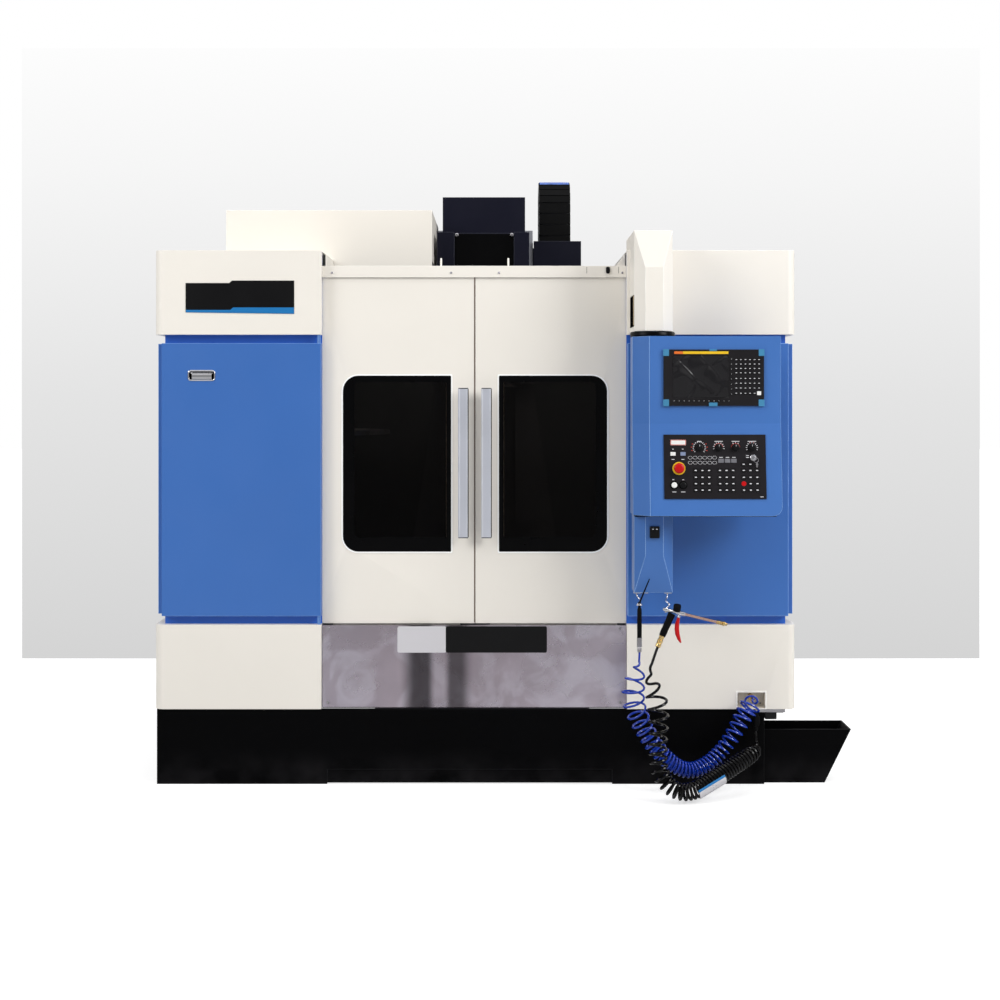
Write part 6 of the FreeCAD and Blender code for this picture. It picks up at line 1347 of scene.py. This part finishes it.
# ---- Drip plate ----
# Narrow galvanised plate on the plinth's lip under the right box, with a black moulded block
# under its middle.
piece("drip_plate", [plate(1022, 1142, 292, 306, -942.0, -940, 0.8, 0.4)], screw_steel, "machine")
piece("drip_block", [plate(1060, 1108, 263, 293, -941, -900, 5, 2)], black_plastic, "machine")

# ---- Coupler recess ----
# Pressed frame in ivory coat round the well that holds the air coupler, and the four steel screws
# at the well's back.
piece("recess_frame", [band(rounded_rectangle(941, 1066, 306.5, 380, 3),
                            rounded_rectangle(947, 1060, 310, 374, 2), -951.6, -949.8)],
      ivory_edge, "machine")
piece("recess_screws", screws([(4, 0), (4, 1.2), (2.6, 2.2), (1, 2.4)],
                              [(x, -880, z) for x in (955, 1052) for z in (318, 368)], sides=10),
      screw_steel, "machine")

# ---- Side panels' screws and louvres ----
# A row of steel screws along the top and the foot of each side panel, and louvres pressed out of
# the panels towards the back.
low, high = (np.array(corner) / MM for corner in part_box("side_panels"))
SIDES = ((low[0], -1), (high[0], 1))
side_screws = []
for x, way in SIDES:
    side_screws += screws([(6, 0), (6, 1.4), (4.6, 3.0), (1.6, 3.4)],
                          [(x, y, z) for y in np.linspace(low[1] + 40, high[1] - 40, 6)
                           for z in (low[2] + 30, high[2] - 30)], (way, 0, 0), 12)
piece("side_screws", side_screws, screw_steel, "machine")
LOUVRE_OUT, LOUVRE_HIGH = 9, 16


def louvre(x, way, y0, y1, z):
    """A pressed louvre: a quarter-round hood, closed at its ends, that opens downwards."""
    turn = np.linspace(0, math.pi / 2, 6)
    rows = [(x + way * LOUVRE_OUT * math.sin(t), z + LOUVRE_HIGH * math.cos(t)) for t in turn]
    rows += [(x - way * 0.5, z), (x - way * 0.5, z + LOUVRE_HIGH)]
    return prism([(a, y0, b) for a, b in rows], (0, y1 - y0, 0))


piece("side_louvres", [louvre(x, way, 420, 700, 760 + 34 * k) for x, way in SIDES
                       for k in range(9)], blue, "machine", smooth=40)

# ---- Rear cabinet's fittings ----
# Vent grille of plastic slats, three steel hinges, a chromed lock, and the main switch: a red
# knob on a yellow plate. All are screwed to the cabinet's door.
CABINET_Y = 1279.0
grille = [plate(x, x + 120, z, z + 5, 0, 3.2, 2, 0.8) for x in (0, 135)
          for z in np.arange(0, 140, 12)]
grille = [(np.c_[-places[:, 0] - 60, CABINET_Y - places[:, 1] + 3.0, places[:, 2] + 640], faces)
          for places, faces in grille]
piece("cabinet_grille", grille, dark_rubber, "cabinet_door_body")
piece("cabinet_hinges", screws([(5, 0), (9, 1), (9, 62), (5, 63)],
                               [(-662, 1267, z) for z in (640, 1230, 1820)], (0, 0, 1)),
      screw_steel, "cabinet_door_body")
piece("cabinet_lock", [lathe([(15, 0), (15, 3), (12, 6), (5, 7)], (400, CABINET_Y, 1260),
                             (0, 1, 0), 24)], chrome, "cabinet_door_body")
piece("main_switch_plate", [lathe([(34, 0), (34, 1.5), (32, 2.5), (8, 2.5)],
                                  (330, CABINET_Y, 1760), (0, 1, 0), 4)], yellow,
      "cabinet_door_body", smooth=20)
piece("main_switch_knob", [lathe([(17, 2), (17, 7), (15, 9), (4, 9)], (330, CABINET_Y, 1760),
                                 (0, 1, 0), 32)], red, "cabinet_door_body")

# ---- Window panes, ways, spindle, table, carousel and motors ----
# Pieces that keep their CAD shape: laminated panes, painted iron, ground steel and machined iron,
# and black motors. Each gets the finish of its material slot.
ground_steel = finish_of("ground_steel", colour(176, 178, 180), 0.28, metal=1.0, spread=0.06,
                         grain=1500.0)
machined_iron = finish_of("machined_iron", colour(122, 124, 126), 0.38, metal=0.9, spread=0.08,
                          grain=1200.0)
motor_black = finish_of("motor_black", colour(16, 17, 20), 0.4, spread=0.1)
FINISHES = {
    "cast_paint": casting_paint, "ivory_sheet": ivory, "blue_sheet": blue, "black_sheet": black,
    "ground_steel": ground_steel, "cast_iron": machined_iron, "deep_blue_sheet": deep_blue,
    "stainless": steel, "anodised": anodised, "window": glass, "servo_black": motor_black,
    "chrome_part": chrome, "panel_plastic": panel_film, "display_plastic": display_film,
    "red_plastic": red, "green_plastic": white_key, "black_plastic": black_plastic,
    "brass_part": brass, "blue_hose": blue_hose, "black_hose": black_hose}
for holder in frame["nodes"].values():
    for place in holder.material_slots:
        place.material = FINISHES[place.material.name.split(".")[0]]
